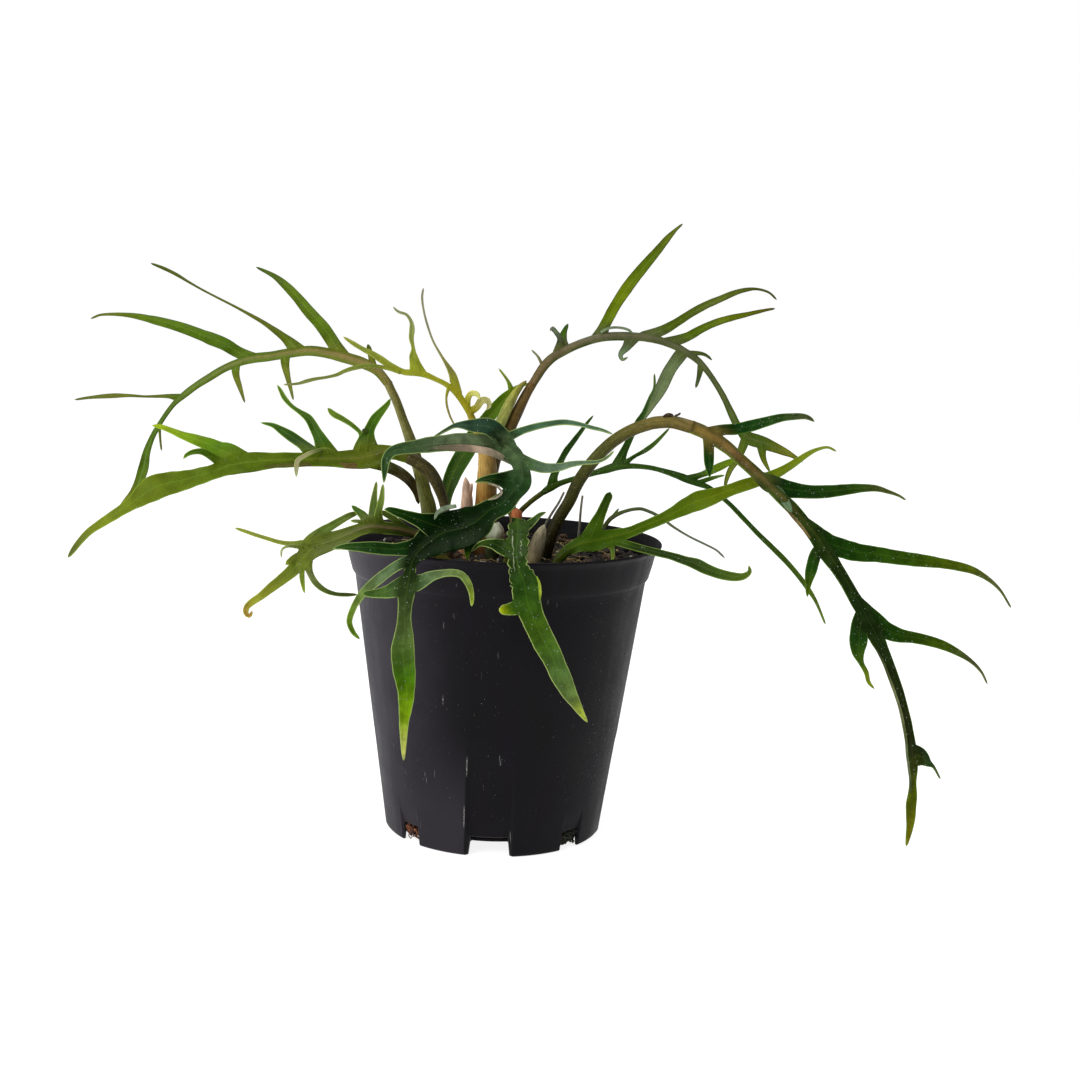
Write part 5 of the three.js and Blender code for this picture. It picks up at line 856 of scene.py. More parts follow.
# Thin strips that lie on the leaves: how much nearer the eye, colour codes, and (x, z, width).
STRIPS = {
    # The brown band under leaf B's rib and two dark scars on it.
    "leaf_b": [
        (0.45, "6a5430 5c4c26 54501e 4e5616", [
            (-48, 135.6, 1.6), (-52, 135.2, 2.4), (-58, 134.9, 2.2), (-65, 135.2, 1.8), (-75, 134.8, 1.5),
            (-85, 133.9, 1.3), (-94, 132.2, 0.8),
        ]),
        (0.4, "344010 28340c 344010", [(-53.3, 148.4, 0.8), (-52.1, 148.1, 2.2), (-50.9, 147.7, 0.8)]),
        (0.4, "2c300e 1c2408 2c300e", [(-53.6, 140.9, 0.6), (-52, 140.8, 1.7), (-50.4, 140.7, 0.6)]),
    ],
    # The pinkish underside that leaf D's arch shows, and a pale scrap on its web.
    "leaf_d": [
        (0.5, "586448 a0947c b09a84 907e6a 746c54 5a6448", [
            (3.5, 137.7, 1.2), (-0.3, 139.8, 2.2), (-5.6, 142, 2.8), (-12, 143, 2.6), (-19.5, 143.2, 2.2),
            (-25.3, 142.8, 1.4), (-29, 142.4, 0.8),
        ]),
        (0.4, "8c8468 b4a890 c0b09c b4a890 8c8468", [
            (-6, 130.2, 0.5), (-2.6, 129.3, 0.8), (-0.7, 127, 0.9), (-2.6, 125, 0.8), (-5.8, 124, 0.5)]),
        (1.0, "6c7860 76846c 68765c", [(-17.6, 121.3, 1.4), (-21.4, 120.4, 2), (-24.4, 118.6, 1.6),
                                       (-25.6, 115.9, 0.8)]),
    ],
    # The yellow shoulder of leaf K, and three pale crisped lines on its neck.
    "leaf_k": [
        (0.3, "6c8828 8c9c34 849430 64801c", [(13.6, 95.6, 0.6), (14.7, 92.9, 1), (15.1, 89.4, 1.1),
                                              (15, 86.3, 0.6)]),
        (0.4, "4c6040 8c9878 64784c 84906c 4c6040", crisped((3.7, 113), (5.1, 96.8), 0.35, 5.4)),
        (0.4, "4c6040 748460 8c9878 64784c", crisped((5.2, 112.4), (6.6, 98), 0.45, 4.3)),
        (0.4, "5c7048 7c8c68 5c7048", crisped((6.9, 111.5), (7.4, 103), 0.4, 3.2)),
    ],
    # A small pale loop above leaf F's rib.
    "leaf_f": [
        (0.6, "6c7c5c 78886a 6c7c5c", [(33.8, 187.6, 1), (36.6, 189.2, 0.9), (40.6, 189.6, 0.9),
                                       (44.4, 188.7, 0.9), (46, 186.6, 0.9)]),
    ],
    # A pale flap on leaf G's rib, and the light underside that its left edge shows in two places.
    "leaf_g": [
        (1.7, "4c6444 6a8464 5c7454", [(100.8, 134, 1), (103.3, 130.6, 3.2), (106.6, 126, 2.6),
                                       (108.2, 123.4, 0.8)]),
        (0.3, "5c4c2c 7c6c44 6c5c38", [(105, 126, 0.6), (107.4, 123.4, 1.2), (111.6, 118.9, 1.3),
                                       (115.9, 113.8, 0.7)]),
        (0.3, "343c20 545c38 747854 4c5630 687050 343c20", [
            (143.3, 72.4, 0.5), (146.3, 67.5, 0.9), (149, 61.6, 1), (151.7, 55.4, 1), (154, 49.5, 1.1),
            (155.7, 43.6, 1.1), (157.2, 37.2, 1), (158, 31.5, 0.9), (159.2, 25.8, 0.8), (160.2, 20, 0.7),
            (160.6, 16, 0.5),
        ]),
    ],
}


# Thickness from root to tip of a lobe's midrib and of a strip.
LOBE_CORE, STRIP_CORE = (0.9, 0.8, 0.6, 0.45), (0.5, 0.45)


def even_tones(codes):
    """The tones of a lobe or strip: colour codes along it, the same all across."""
    return lambda u, aside: ramp(codes, u)


def leaf_parts(name, leaf, look):
    """The closed parts of a leaf's blade: its rib, which ends in its end lobe, each side lobe, and
    the strips that lie on them."""
    rng = np.random.default_rng(sum(map(ord, name)))
    core, fold, lean = look["core"], look["fold"], leaf["lean"]

    def rib_tones(u, aside):
        near = np.exp(-(aside / (0.42 * np.interp(u, np.linspace(0, 1, len(core)), core))) ** 4)
        return ramp(look["wing"], u) * (1 - near[..., None]) + ramp(look["axis"], u) * near[..., None]

    rib = spine(earlier(leaf["rib"], 0.9), fold, 0.08, rng, frill=look.get("frill", 0.0))
    lobes = [spine(lobe_rows(leaf["rib"], points, out), fold, 0.1, rng, grip=1.5, mother=rib)
             for out, points in leaf["lobes"]]
    parts = [blade(rib, lean, core, rib_tones, look["rim"], lobes=lobes)]
    for made, codes in zip(lobes, look["lobes"]):
        parts.append(blade(made, lean, LOBE_CORE, even_tones(codes), look["rim"], rib, rib_tones))
    for nearer, codes, rows in STRIPS.get(name, []):
        strip = spine(laid_on(rows, [rib, *lobes], lean, nearer), 0.1, 0.05, rng)
        parts.append(blade(strip, lean, STRIP_CORE, even_tones(codes), (codes[:6], 0.0)))
    return parts


def add(tree, kind, inputs=(), **settings):
    """A shader node with its settings, and its inputs as numbers or links."""
    made = tree.nodes.new("ShaderNode" + kind)
    for key, value in settings.items():
        setattr(made, key, value)
    for key, value in dict(inputs).items():
        connect(tree, made.inputs[key], value)
    return made


def connect(tree, socket, value):
    """A number, or the link from another node, for a socket."""
    if isinstance(value, bpy.types.NodeSocket):
        tree.links.new(value, socket)
    else:
        socket.default_value = value


def calc(tree, operation, *values, clamp=False):
    """The result of one kind of arithmetic, taken in turn from the first value to the last."""
    total = values[0]
    for value in values[1:]:
        total = add(tree, "Math", {0: total, 1: value}, operation=operation, use_clamp=clamp).outputs[0]
    return total


def times(tree, *values):
    """The product of values."""
    return calc(tree, "MULTIPLY", *values)


def single(tree, operation, value):
    """The result of a kind of arithmetic that takes one value."""
    return add(tree, "Math", {0: value}, operation=operation).outputs[0]


def mixed(tree, share, low, high, blend="MIX"):
    """Colour low where share is 0, going to high where it is 1. A code stands for a plain colour."""
    ends = [plain_colour(end) if isinstance(end, str) else end for end in (low, high)]
    made = add(tree, "Mix", {0: share, 6: ends[0], 7: ends[1]}, data_type="RGBA", blend_type=blend)
    return made.outputs[2]


def between(tree, value, low, high, start=0.0, end=1.0):
    """A value taken from low..high to start..end in a smooth S, and held there outside."""
    return add(tree, "MapRange", {0: value, 1: low, 2: high, 3: start, 4: end},
               interpolation_type="SMOOTHSTEP").outputs[0]


def about_one(tree, noise, spread):
    """A factor from 1 - spread to 1 + spread, following a noise from about 0.3 to 0.7."""
    return between(tree, noise, 0.3, 0.7, 1 - spread, 1 + spread)


def shaded(tree, colour, factor):
    """A colour made brighter or darker by a factor."""
    return add(tree, "VectorMath", {0: colour, "Scale": factor}, operation="SCALE").outputs[0]


def speckle(tree, where, scale, detail=3.0, rough=0.55):
    """Cloudy noise from about 0.3 to 0.7 at so many spots a metre."""
    return add(tree, "TexNoise", {"Vector": where, "Scale": scale, "Detail": detail,
                                  "Roughness": rough}).outputs["Fac"]


def stretched(tree, where, sizes):
    """Coordinates with each axis multiplied."""
    return add(tree, "Mapping", {"Vector": where, "Scale": sizes}).outputs[0]


def cells(tree, where, scale):
    """Distance from the nearest of many scattered points, so many a metre."""
    return add(tree, "TexVoronoi", {"Vector": where, "Scale": scale}).outputs["Distance"]


def stored(tree, name):
    """The value that the mesh keeps at each point under a name."""
    return add(tree, "Attribute", attribute_name=name)


def own_place(tree):
    """Each point's place in the piece's own coordinates, in metres."""
    return add(tree, "TexCoord").outputs["Object"]


def plain_colour(code):
    """A colour code as the four numbers of a colour socket."""
    return (*linear(code), 1.0)


def start_finish(name):
    """A material with a bare principled shader: the material, its tree and the shader."""
    material = bpy.data.materials.new(name)
    material.use_nodes = True
    tree = material.node_tree
    return material, tree, tree.nodes["Principled BSDF"]


def put(tree, shader, **values):
    """Links or numbers for the shader's sockets, named with _ for a space."""
    for key, value in values.items():
        connect(tree, shader.inputs[key.replace("_", " ")], value)


def bumped(tree, height, distance):
    """A normal tilted by a height of that many metres."""
    return add(tree, "Bump", {"Height": height, "Distance": distance, "Strength": 1.0}).outputs[0]


# A leaf's veins: how far back the side veins slant, how close they and the lengthwise veins stand,
# and how far a cloud pushes both about.
VEIN_SLANT, SIDE_VEINS, LONG_VEINS, VEIN_DRIFT = 1.3, 3.6, 9.5, 5.0
# What a pale vein adds to the green, and how the underside differs: times the first, plus the second.
VEIN_GLOW = (0.036, 0.052, 0.006, 1.0)
UNDERSIDE = {1: (0.8, 0.8, 0.8), 2: (0.03, 0.028, 0.016)}
# Reflections on a leaf are tinted by its wax.
WAX_TINT = (0.75, 1.0, 0.4, 1.0)


def leaf_finish(name, rough, veins, mottle, shine=0.16):
    """Leaf skin: the tone along the lobe, cloudy and blotched, with a pale midrib, slanting fine
    veins, a thin margin, a duller underside and a waxy gloss."""
    material, tree, shader = start_finish(name)
    tone, rim = stored(tree, "tone"), stored(tree, "rim")
    place, spot = stored(tree, "place").outputs["Vector"], own_place(tree)
    along, aside, inward = add(tree, "SeparateXYZ", {0: place}).outputs
    cloud = speckle(tree, spot, 230.0)
    fine = speckle(tree, spot, 1500.0, 4.0, 0.65)
    off = single(tree, "ABSOLUTE", aside)
    slant = calc(tree, "SUBTRACT", along, times(tree, off, VEIN_SLANT))
    drift = times(tree, cloud, VEIN_DRIFT)
    side_vein = single(tree, "SINE", calc(tree, "ADD", times(tree, slant, SIDE_VEINS), drift))
    long_vein = single(tree, "SINE", calc(tree, "ADD", times(tree, aside, LONG_VEINS), drift))
    vein = between(tree, calc(tree, "ADD", times(tree, side_vein, 0.6), times(tree, long_vein, 0.4)),
                   0.35, 1.0)
    midrib = between(tree, off, 0.12, 0.42, 1.0, 0.0)
    broad = between(tree, calc(tree, "ADD", inward, off), 0.9, 1.7)
    shade = times(tree, about_one(tree, cloud, mottle), about_one(tree, fine, 0.05))
    colour = shaded(tree, tone.outputs["Color"], shade)
    pale = mixed(tree, 1.0, colour, VEIN_GLOW, "ADD")
    colour = mixed(tree, times(tree, vein, veins), colour, pale)
    colour = mixed(tree, times(tree, midrib, broad, 0.2 + veins), colour, pale)
    under = add(tree, "VectorMath", {0: colour, **UNDERSIDE}, operation="MULTIPLY_ADD").outputs[0]
    colour = mixed(tree, times(tree, tone.outputs["Alpha"], 0.7), colour, under)
    edge = times(tree, between(tree, inward, 0.14, 0.42, 1.0, 0.0), rim.outputs["Alpha"])
    colour = mixed(tree, edge, colour, rim.outputs["Color"])
    height = calc(tree, "ADD", times(tree, vein, 0.6), times(tree, fine, 0.25))
    height = calc(tree, "SUBTRACT", height, times(tree, midrib, 0.8))
    put(tree, shader, Base_Color=colour, Normal=bumped(tree, height, 0.0001),
        Specular_IOR_Level=shine, Specular_Tint=WAX_TINT,
        Roughness=between(tree, calc(tree, "ADD", fine, cloud), 0.7, 1.3, rough - 0.07, rough + 0.12))
    return material


def stalk_finish(name, rough, warts):
    """Stalk skin: the tone streaked lengthwise, small corky dots, warts and long fine ridges."""
    material, tree, shader = start_finish(name)
    tone = stored(tree, "tone").outputs["Color"]
    place, spot = stored(tree, "place").outputs["Vector"], own_place(tree)
    streak = speckle(tree, stretched(tree, place, (0.12, 1.6, 1.0)), 1.0, 4.0, 0.6)
    cloud = speckle(tree, spot, 300.0)
    dot = between(tree, cells(tree, spot, 900.0), 0.1, 0.32, 1.0, 0.0)
    shade = times(tree, about_one(tree, streak, 0.28), about_one(tree, cloud, 0.18))
    colour = mixed(tree, times(tree, dot, 0.16), shaded(tree, tone, shade), "a8a07a")
    wart = between(tree, cells(tree, spot, 520.0), 0.05, 0.45, 1.0, 0.0)
    height = calc(tree, "ADD", times(tree, streak, 0.8), times(tree, wart, warts))
    put(tree, shader, Base_Color=colour, Specular_IOR_Level=0.16,
        Roughness=between(tree, streak, 0.3, 0.7, rough - 0.06, rough + 0.12),
        Normal=bumped(tree, height, 0.0002))
    return material


FOOT_RADIUS = 41.2
BODY_TOP_RADIUS, BODY_TOP = 54.5, 96.5
WALL = 1.3
FLUTE_DEPTH, FLUTE_TOP, FLUTE_HALF = 1.1, 38.0, 8.0
# Half of a wide and of a narrow notch, and how high the rows over a notch are squeezed up.
NOTCH_HEIGHT, NOTCH_HALVES, SQUEEZED = 6.8, (7.4, 4.4), 14
FLOOR_LOW, FLOOR_TOP = 3.6, 5.0
LIP = [(54.5, 96.5), (54.75, 96.9), (55.25, 97.3), (55.6, 97.9), (56.1, 99.8), (56.7, 102), (57.4, 105),
       (57.95, 107.2), (58.35, 108), (59.2, 108.8), (59.75, 109.2), (60, 109.6), (59.98, 110),
       (59.75, 110.25), (59.3, 110.3), (58.95, 110.2), (58.6, 109.9), (57.7, 108.5), (56.9, 107.6),
       (56.1, 105), (55.4, 102), (54.5, 99), (53.2, 96.5)]
# Heights of the wall's rows, and where its columns crowd beside a notch or flute, in millimetres
# from its middle.
WALL_ROWS = [0, 0.5, 1.5, 3, 5, 7, 10, 14, 18, 22, 26, 30, 34, 38, 44, 52, 60, 68, 76, 84, 90, 94]
EDGE_COLUMNS = np.array([3.8, 4.0, 4.8, 5.0, 6.8, 7.0, 7.3, 7.8, 8.1, 8.5, 9.0])


def notch_foot(angle):
    """The height of the wall's foot at angles round the pot.

    Eight notches stand every 45 degrees, wide and narrow in turn, with slanting sides."""
    eighth = np.round(angle / (np.pi / 4))
    aside = np.abs(angle - eighth * np.pi / 4) * FOOT_RADIUS
    half = np.where(eighth % 2 == 0, *NOTCH_HALVES)
    return NOTCH_HEIGHT * np.clip((half + 0.4 - aside) / 0.8, 0, 1)


def pot_wall():
    """The wall as a closed loop of radius and height, turned round the axis.

    Rows under 14 mm are squeezed up to the notches' tops; the lower wall is pressed in by the
    flutes, which are deepest at the foot and fade out at 38 mm."""
    slope = (BODY_TOP_RADIUS - FOOT_RADIUS) / BODY_TOP
    outer = [(FOOT_RADIUS - (0.35 if z == 0 else 0) + slope * z, z) for z in WALL_ROWS]
    inner = [(FOOT_RADIUS - WALL + slope * z, z) for z in reversed(WALL_ROWS)]
    loop = np.array(outer + LIP + inner, float)
    edges = np.array([k * 45 + side * d for k in range(8) for side in (-1, 1)
                      for d in np.degrees(EDGE_COLUMNS / FOOT_RADIUS)])
    turns = np.unique(np.round(np.concatenate([np.arange(0, 360, 1.5), edges % 360]), 3))
    angle = np.radians(turns)[None, :]
    foot = notch_foot(angle)
    radius, height = loop[:, :1] + 0 * angle, loop[:, 1:] + 0 * angle
    height = np.where(height < SQUEEZED, foot + height * (SQUEEZED - foot) / SQUEEZED, height)
    quarter = np.round(angle / (np.pi / 2)) * np.pi / 2
    aside = np.abs(angle - quarter) * radius
    low = np.clip((1 - height / FLUTE_TOP) * 1.6, 0, 1)
    pressed = FLUTE_DEPTH * low * (1 - step_up(aside, FLUTE_HALF - 0.4, FLUTE_HALF + 0.7))
    radius = radius - pressed
    points = np.stack([radius * np.cos(angle), radius * np.sin(angle), height], -1)
    return points.transpose(1, 0, 2)


def looped(points):
    """Faces of a grid that closes on itself both ways, as a ring with a closed section does."""
    rows, around = points.shape[:2]
    i, k = np.meshgrid(np.arange(rows), np.arange(around), indexing="ij")
    i2, k2 = (i + 1) % rows, (k + 1) % around
    quads = np.stack([i * around + k, i2 * around + k, i2 * around + k2, i * around + k2], -1)
    flat = points.reshape(-1, 3)
    return {"points": flat, "quads": quads.reshape(-1, 4), "fans": np.zeros((0, 3), int)}


def turned(radius, height, angle):
    """A closed solid of rings round the upright axis, from its lowest middle to its highest."""
    return closed_tube(np.stack([radius * np.cos(angle), -radius * np.sin(angle), height], -1))


def pot_floor():
    """The floor: a disc just inside the wall, cut back to 35 mm behind each notch."""
    angle = np.linspace(0, 2 * np.pi, 240, endpoint=False)[None, :]
    rim = np.where(notch_foot(angle) > 0.5, 35.0, FOOT_RADIUS - WALL + 0.25)
    radius = np.minimum(np.array([2, 20, 60, 60, 20, 2])[:, None], rim)
    height = np.repeat([FLOOR_LOW, FLOOR_TOP], 3)[:, None] + 0 * angle
    return turned(radius, height, angle)


# The level of the soil, and how far from the axis anything on it may lie.
SOIL_TOP, SOIL_EDGE = 103.6, 53.0
# Radii of the soil's sides and of its top, and the heights of its sides.
SOIL_RADII = np.array([3, 20, 36.5, 37.6, 44.8, 50, 52.6, 53.4, *np.linspace(52.6, 1, 44)])
SOIL_SIDES = np.array([5.5, 5.5, 5.5, 8, 40, 80, 96, 102])


def soil_height(x, y):
    """Height of the soil: its level plus the sum of a few crossed waves, long ones and short ones."""
    broad = np.sin(x * 0.21 + 1) * np.cos(y * 0.19) + 0.5 * np.sin(x * 0.47 - y * 0.39)
    small = np.sin(x * 1.1 + 2 * np.sin(y * 0.7)) * np.sin(y * 1.3 + 2 * np.sin(x * 0.9))
    return SOIL_TOP + 0.8 * broad + 0.55 * small + 0.3 * np.sin(x * 2.9 + y * 1.7) * np.sin(y * 3.1 - x)


def soil_body():
    """The root ball: straight sides inside the wall, and a top whose height is soil_height."""
    angle = np.linspace(0, 2 * np.pi, 144, endpoint=False)[None, :]
    radius = SOIL_RADII[:, None] + 0 * angle
    height = soil_height(radius * np.cos(angle), -radius * np.sin(angle))
    height[:len(SOIL_SIDES)] = SOIL_SIDES[:, None]
    return turned(radius, height, angle)


# How far the middle of a lump lies above the soil, as a share of its height, and how rough it is.
LUMP_LIFT, LUMP_ROUGH = 0.2, 0.22


def scattered(rng, radius):
    """A random place on a disc: how far from its middle, and at which angle."""
    return radius * np.sqrt(rng.uniform(0, 1)), rng.uniform(0, 6.28)


def crumbs(count, rng, sizes, flat, codes, radius):
    """Lumps scattered on the soil: a ball of few faces each, squashed, roughened and turned at
    random, and laid at random over a disc."""
    parts = []
    colours = codes.split()
    polar = np.array([0.5, 1.2, 1.94, 2.64])[:, None]
    turn = np.linspace(0, 2 * np.pi, 7, endpoint=False)[None, :]
    ball = np.stack([np.sin(polar) * np.cos(turn), -np.sin(polar) * np.sin(turn),
                     -np.cos(polar) + 0 * turn], -1)
    for _ in range(count):
        size = rng.uniform(*sizes) * np.array([rng.uniform(0.7, 1.5), rng.uniform(0.5, 0.9), flat])
        rough = 1 + LUMP_ROUGH * rng.standard_normal(ball.shape[:2] + (1,))
        tilt = Matrix.Rotation(rng.uniform(0, 6.28), 3, "Z") @ Matrix.Rotation(rng.normal(0, 0.5), 3, "X")
        shape = (ball * rough * size) @ np.array(tilt).T
        far, way = scattered(rng, radius)
        x, y = far * np.cos(way), far * np.sin(way)
        shape = shape + [x, y, soil_height(x, y) + LUMP_LIFT * size[2]]
        colour = linear(colours[rng.integers(len(colours))]) * rng.uniform(0.75, 1.25)
        tone = np.broadcast_to([*colour, 0.0], (*shape.shape[:2], 4))
        parts.append(closed_tube(shape, tone=tone))
    return parts


def thread(path, radius, tone):
    """A thin thread along points in space: rings of seven points, square to the path."""
    ahead = unit(np.gradient(path, axis=0))
    right = unit(np.cross([0.13, 0.2, 1.0], ahead))
    front = np.cross(right, ahead)
    turn = np.linspace(0, 2 * np.pi, 7, endpoint=False)[:, None]
    thin = np.sqrt(np.sin(np.linspace(0.25, 2.9, len(path))))[:, None, None] * radius
    around = path[:, None] + thin * (right[:, None] * np.cos(turn) + front[:, None] * np.sin(turn))
    colour = np.broadcast_to([*linear(tone), 0.0], (*around.shape[:2], 4))
    return closed_tube(around, tone=colour)


def fibres(count, rng, radius):
    """Loose fibres and fine roots that lie on the soil: short wandering arcs a little above it."""
    parts = []
    codes = "8a6a3c 5c4226 a58a52 3a2a1a c4ae72".split()
    for _ in range(count):
        share = np.linspace(-0.5, 0.5, 14)
        way, far, turn = rng.uniform(0, 6.28), radius * np.sqrt(rng.uniform(0, 1)), rng.uniform(0, 6.28)
        reach = rng.uniform(5, 14)
        side = rng.normal(0, 0.25) * reach * (share**2 * 4) + 0.5 * np.sin(share * 9 + turn)
        x = far * np.cos(way) + reach * share * np.cos(turn) - side * np.sin(turn)
        y = far * np.sin(way) + reach * share * np.sin(turn) + side * np.cos(turn)
        keep = np.minimum(1, SOIL_EDGE / np.maximum(np.hypot(x, y), 1))
        x, y = x * keep, y * keep
        z = soil_height(x, y) + 0.5 + rng.uniform(0, 1.2) * (1 - (2 * share) ** 2)
        parts.append(thread(np.stack([x, y, z], -1), rng.uniform(0.12, 0.3),
                            codes[rng.integers(len(codes))]))
    return parts


def notch_roots(count, rng, angle, thin, codes):
    """Fine roots that show in one notch of the pot: short wandering threads between the floor's edge
    and the wall, curled in all directions."""
    parts = []
    shades = codes.split()
    for _ in range(count):
        share = np.linspace(0, 1, 12)
        way = np.radians(angle + rng.uniform(-5, 5) + 3.5 * wander(share, rng, 3))
        far = 38.4 + 1.6 * rng.uniform(0, 1) + 1.1 * wander(share, rng, 2)
        height = np.maximum(3.4 + rng.uniform(-1, 1.6) + 1.8 * wander(share, rng, 3), 0.5)
        path = np.stack([far * np.cos(way), far * np.sin(way), height], -1)
        parts.append(thread(path, rng.uniform(*thin), shades[rng.integers(len(shades))]))
    return parts


# From which sides spray reaches the pot, in degrees from its front, four times as much from the
# right; how far round it spreads, and its heights and sizes.
SPRAY_SIDES, SPRAY_SPREAD = [20, 20, 20, 20, -60], 65
SPRAY_HEIGHTS, SPRAY_SIZES = (16, 95), (0.06, 0.12)


def pot_drops(count, rng):
    """Fine spray, most of it on the right of the pot: drops thrown at random over its wall."""
    parts = []
    for _ in range(count):
        way = np.radians(-90 + rng.choice(SPRAY_SIDES) + SPRAY_SPREAD * np.sqrt(rng.uniform(0, 1)))
        height = rng.uniform(*SPRAY_HEIGHTS)
        radius = FOOT_RADIUS + (BODY_TOP_RADIUS - FOOT_RADIUS) * height / BODY_TOP
        normal = np.array([np.cos(way), np.sin(way), -0.1])
        place = np.array([radius * np.cos(way), radius * np.sin(way), height])
        parts.append(drop(place, normal, rng.uniform(*SPRAY_SIZES)))
    return parts


# Upright pale lines on the front of the pot, in metres: how far aside, and from where to where. The
# first two are scratches; the last two, on the front flute's left edge, are a painted highlight.
SCRATCHES_AND_EDGE_GLINTS = [(-0.0178, 0.084, 0.088), (-0.0176, 0.056, 0.061), (-0.0086, 0.03, 0.039),
             (-0.0092, 0.01, 0.02)]
# Pale black for the painted light on the pot; grey for scratches, scuffs and a painted edge highlight.
PAINTED_LIGHT_BLACK, WORN_AND_GLINT_GREY = "37333b", "8b8a86"


def pot_finish():
    """Black moulded plastic: faint upright streaks, cloudy wear, painted light that pales it towards the
    left and beside the front flute, upright scratches and a painted highlight along the flute's left
    edge, small scuffs and a fine grain in the bump."""
    material, tree, shader = start_finish("pot_black")
    spot = own_place(tree)
    x, y, z = add(tree, "SeparateXYZ", {0: spot}).outputs
    streak = speckle(tree, stretched(tree, spot, (160.0, 160.0, 9.0)), 1.0, 4.0)
    cloud = speckle(tree, spot, 45.0)
    grain = speckle(tree, spot, 2600.0, 2.0)
    in_front = between(tree, y, -0.02, -0.01, 1.0, 0.0)
    colour = mixed(tree, between(tree, streak, 0.3, 0.7), "0a090b", "0e0b10")
    colour = mixed(tree, between(tree, cloud, 0.4, 0.75, 0.0, 0.35), colour, "151218")
    # Painted light: the wall grows paler towards the left, where the light falls on it.
    painted_left_light = times(tree, between(tree, x, -0.05, -0.006, 0.75, 0.0),
                  between(tree, speckle(tree, spot, 70.0, 2.0), 0.3, 0.7, 0.7, 1.0))
    colour = mixed(tree, painted_left_light, colour, PAINTED_LIGHT_BLACK)
    # Painted light on the wall just left of the front flute's left edge, which faces the light.
    flute_edge_light = times(tree, between(tree, x, -0.036, -0.011, 0.0, 0.5),
                  between(tree, x, -0.0094, -0.0086, 1.0, 0.0),
                  between(tree, z, 0.01, 0.05, 1.0, 0.0), in_front)
    colour = mixed(tree, flute_edge_light, colour, PAINTED_LIGHT_BLACK)
    # Scratches, and a painted highlight along the front flute's left edge, as pale upright lines.
    for aside, low, high in SCRATCHES_AND_EDGE_GLINTS:
        off = single(tree, "ABSOLUTE", calc(tree, "SUBTRACT", x, aside))
        line = between(tree, off, 0.0001, 0.0003, 1.0, 0.0)
        span = times(tree, between(tree, z, low, low + 0.003),
                     between(tree, z, high - 0.003, high, 1.0, 0.0))
        broken = between(tree, grain, 0.35, 0.6, 0.1, 0.8)
        colour = mixed(tree, times(tree, line, span, broken, in_front), colour, WORN_AND_GLINT_GREY)
    dust = between(tree, speckle(tree, spot, 900.0, 5.0, 0.7), 0.66, 0.74)
    scratch = between(tree, speckle(tree, stretched(tree, spot, (900.0, 900.0, 60.0)), 1.0, 2.0), 0.7, 0.76)
    scuffed = times(tree, calc(tree, "ADD", dust, scratch, clamp=True),
                    between(tree, cloud, 0.42, 0.62, 0.0, 0.35))
    colour = mixed(tree, scuffed, colour, WORN_AND_GLINT_GREY)
    put(tree, shader, Base_Color=colour, Specular_IOR_Level=0.08,
        Roughness=between(tree, calc(tree, "ADD", cloud, streak), 0.7, 1.3, 0.42, 0.56),
        Normal=bumped(tree, calc(tree, "ADD", grain, times(tree, streak, 0.6)), 0.00012))
    return material


def soil_finish(name, grainy):
    """Dark bark and peat: the tone broken up by coarse and fine noise, deep pits in the bump. Where
    it is grainy, the noise gives the tone as well."""
    material, tree, shader = start_finish(name)
    tone = stored(tree, "tone").outputs["Color"]
    spot = own_place(tree)
    coarse = speckle(tree, spot, 380.0, 5.0, 0.7)
    fine = speckle(tree, spot, 1600.0, 4.0, 0.7)
    if grainy:
        tone = mixed(tree, between(tree, coarse, 0.38, 0.62), "120c08", "2c2014")
        tone = mixed(tree, between(tree, fine, 0.64, 0.74), tone, "5c4628")
    shade = times(tree, about_one(tree, coarse, 0.3), about_one(tree, fine, 0.25))
    put(tree, shader, Base_Color=shaded(tree, tone, shade), Roughness=0.85,
        Normal=bumped(tree, calc(tree, "ADD", coarse, fine), 0.0009))
    return material


def drop_finish():
    """Water drops: smooth and glossy, with a pale base colour that is a painted glint, a little
    brighter in some places than in others.
    """
    material, tree, shader = start_finish("dew")
    cloud = speckle(tree, own_place(tree), 700.0)
    # Painted highlight: the pale base colour stands in for the glint of clear water.
    put(tree, shader, Roughness=0.12, Specular_IOR_Level=0.5,
        Base_Color=mixed(tree, between(tree, cloud, 0.35, 0.65), "3c4c3a", "8c9888"))
    return material


POT = pot_finish()
DEW = drop_finish()
SOIL = soil_finish("soil_dark", True)
BITS = soil_finish("soil_bits", False)
# Each leaf skin with its slot.
LIGHT = (leaf_finish("leaf_light", rough=0.4, veins=0.35, mottle=0.15), "blade_light")
DARK = (leaf_finish("leaf_dark", rough=0.3, veins=0.13, mottle=0.3, shine=0.045), "blade_dark")
YOUNG = (leaf_finish("leaf_young", rough=0.42, veins=0.2, mottle=0.12), "blade_young")
STALK_SKIN = stalk_finish("stalk_skin", rough=0.42, warts=0.5)
STEM_SKIN = stalk_finish("stem_skin", rough=0.5, warts=0.2)
DRY_SKIN = stalk_finish("dry_skin", rough=0.7, warts=0.1)

make_piece("pot_wall", [looped(pot_wall())], POT, "pot", "pot")
make_piece("pot_floor", [pot_floor()], POT, "pot")
make_piece("soil_body", [soil_body()], SOIL, "soil", "soil")

chance = np.random.default_rng(41)
BARK = "1c120c 241a10 322214 45301c 221812 140e0a 3a2c1e 553e24"
BRIGHT = "b09a3c 8a8a3c a3703a c2b06a"
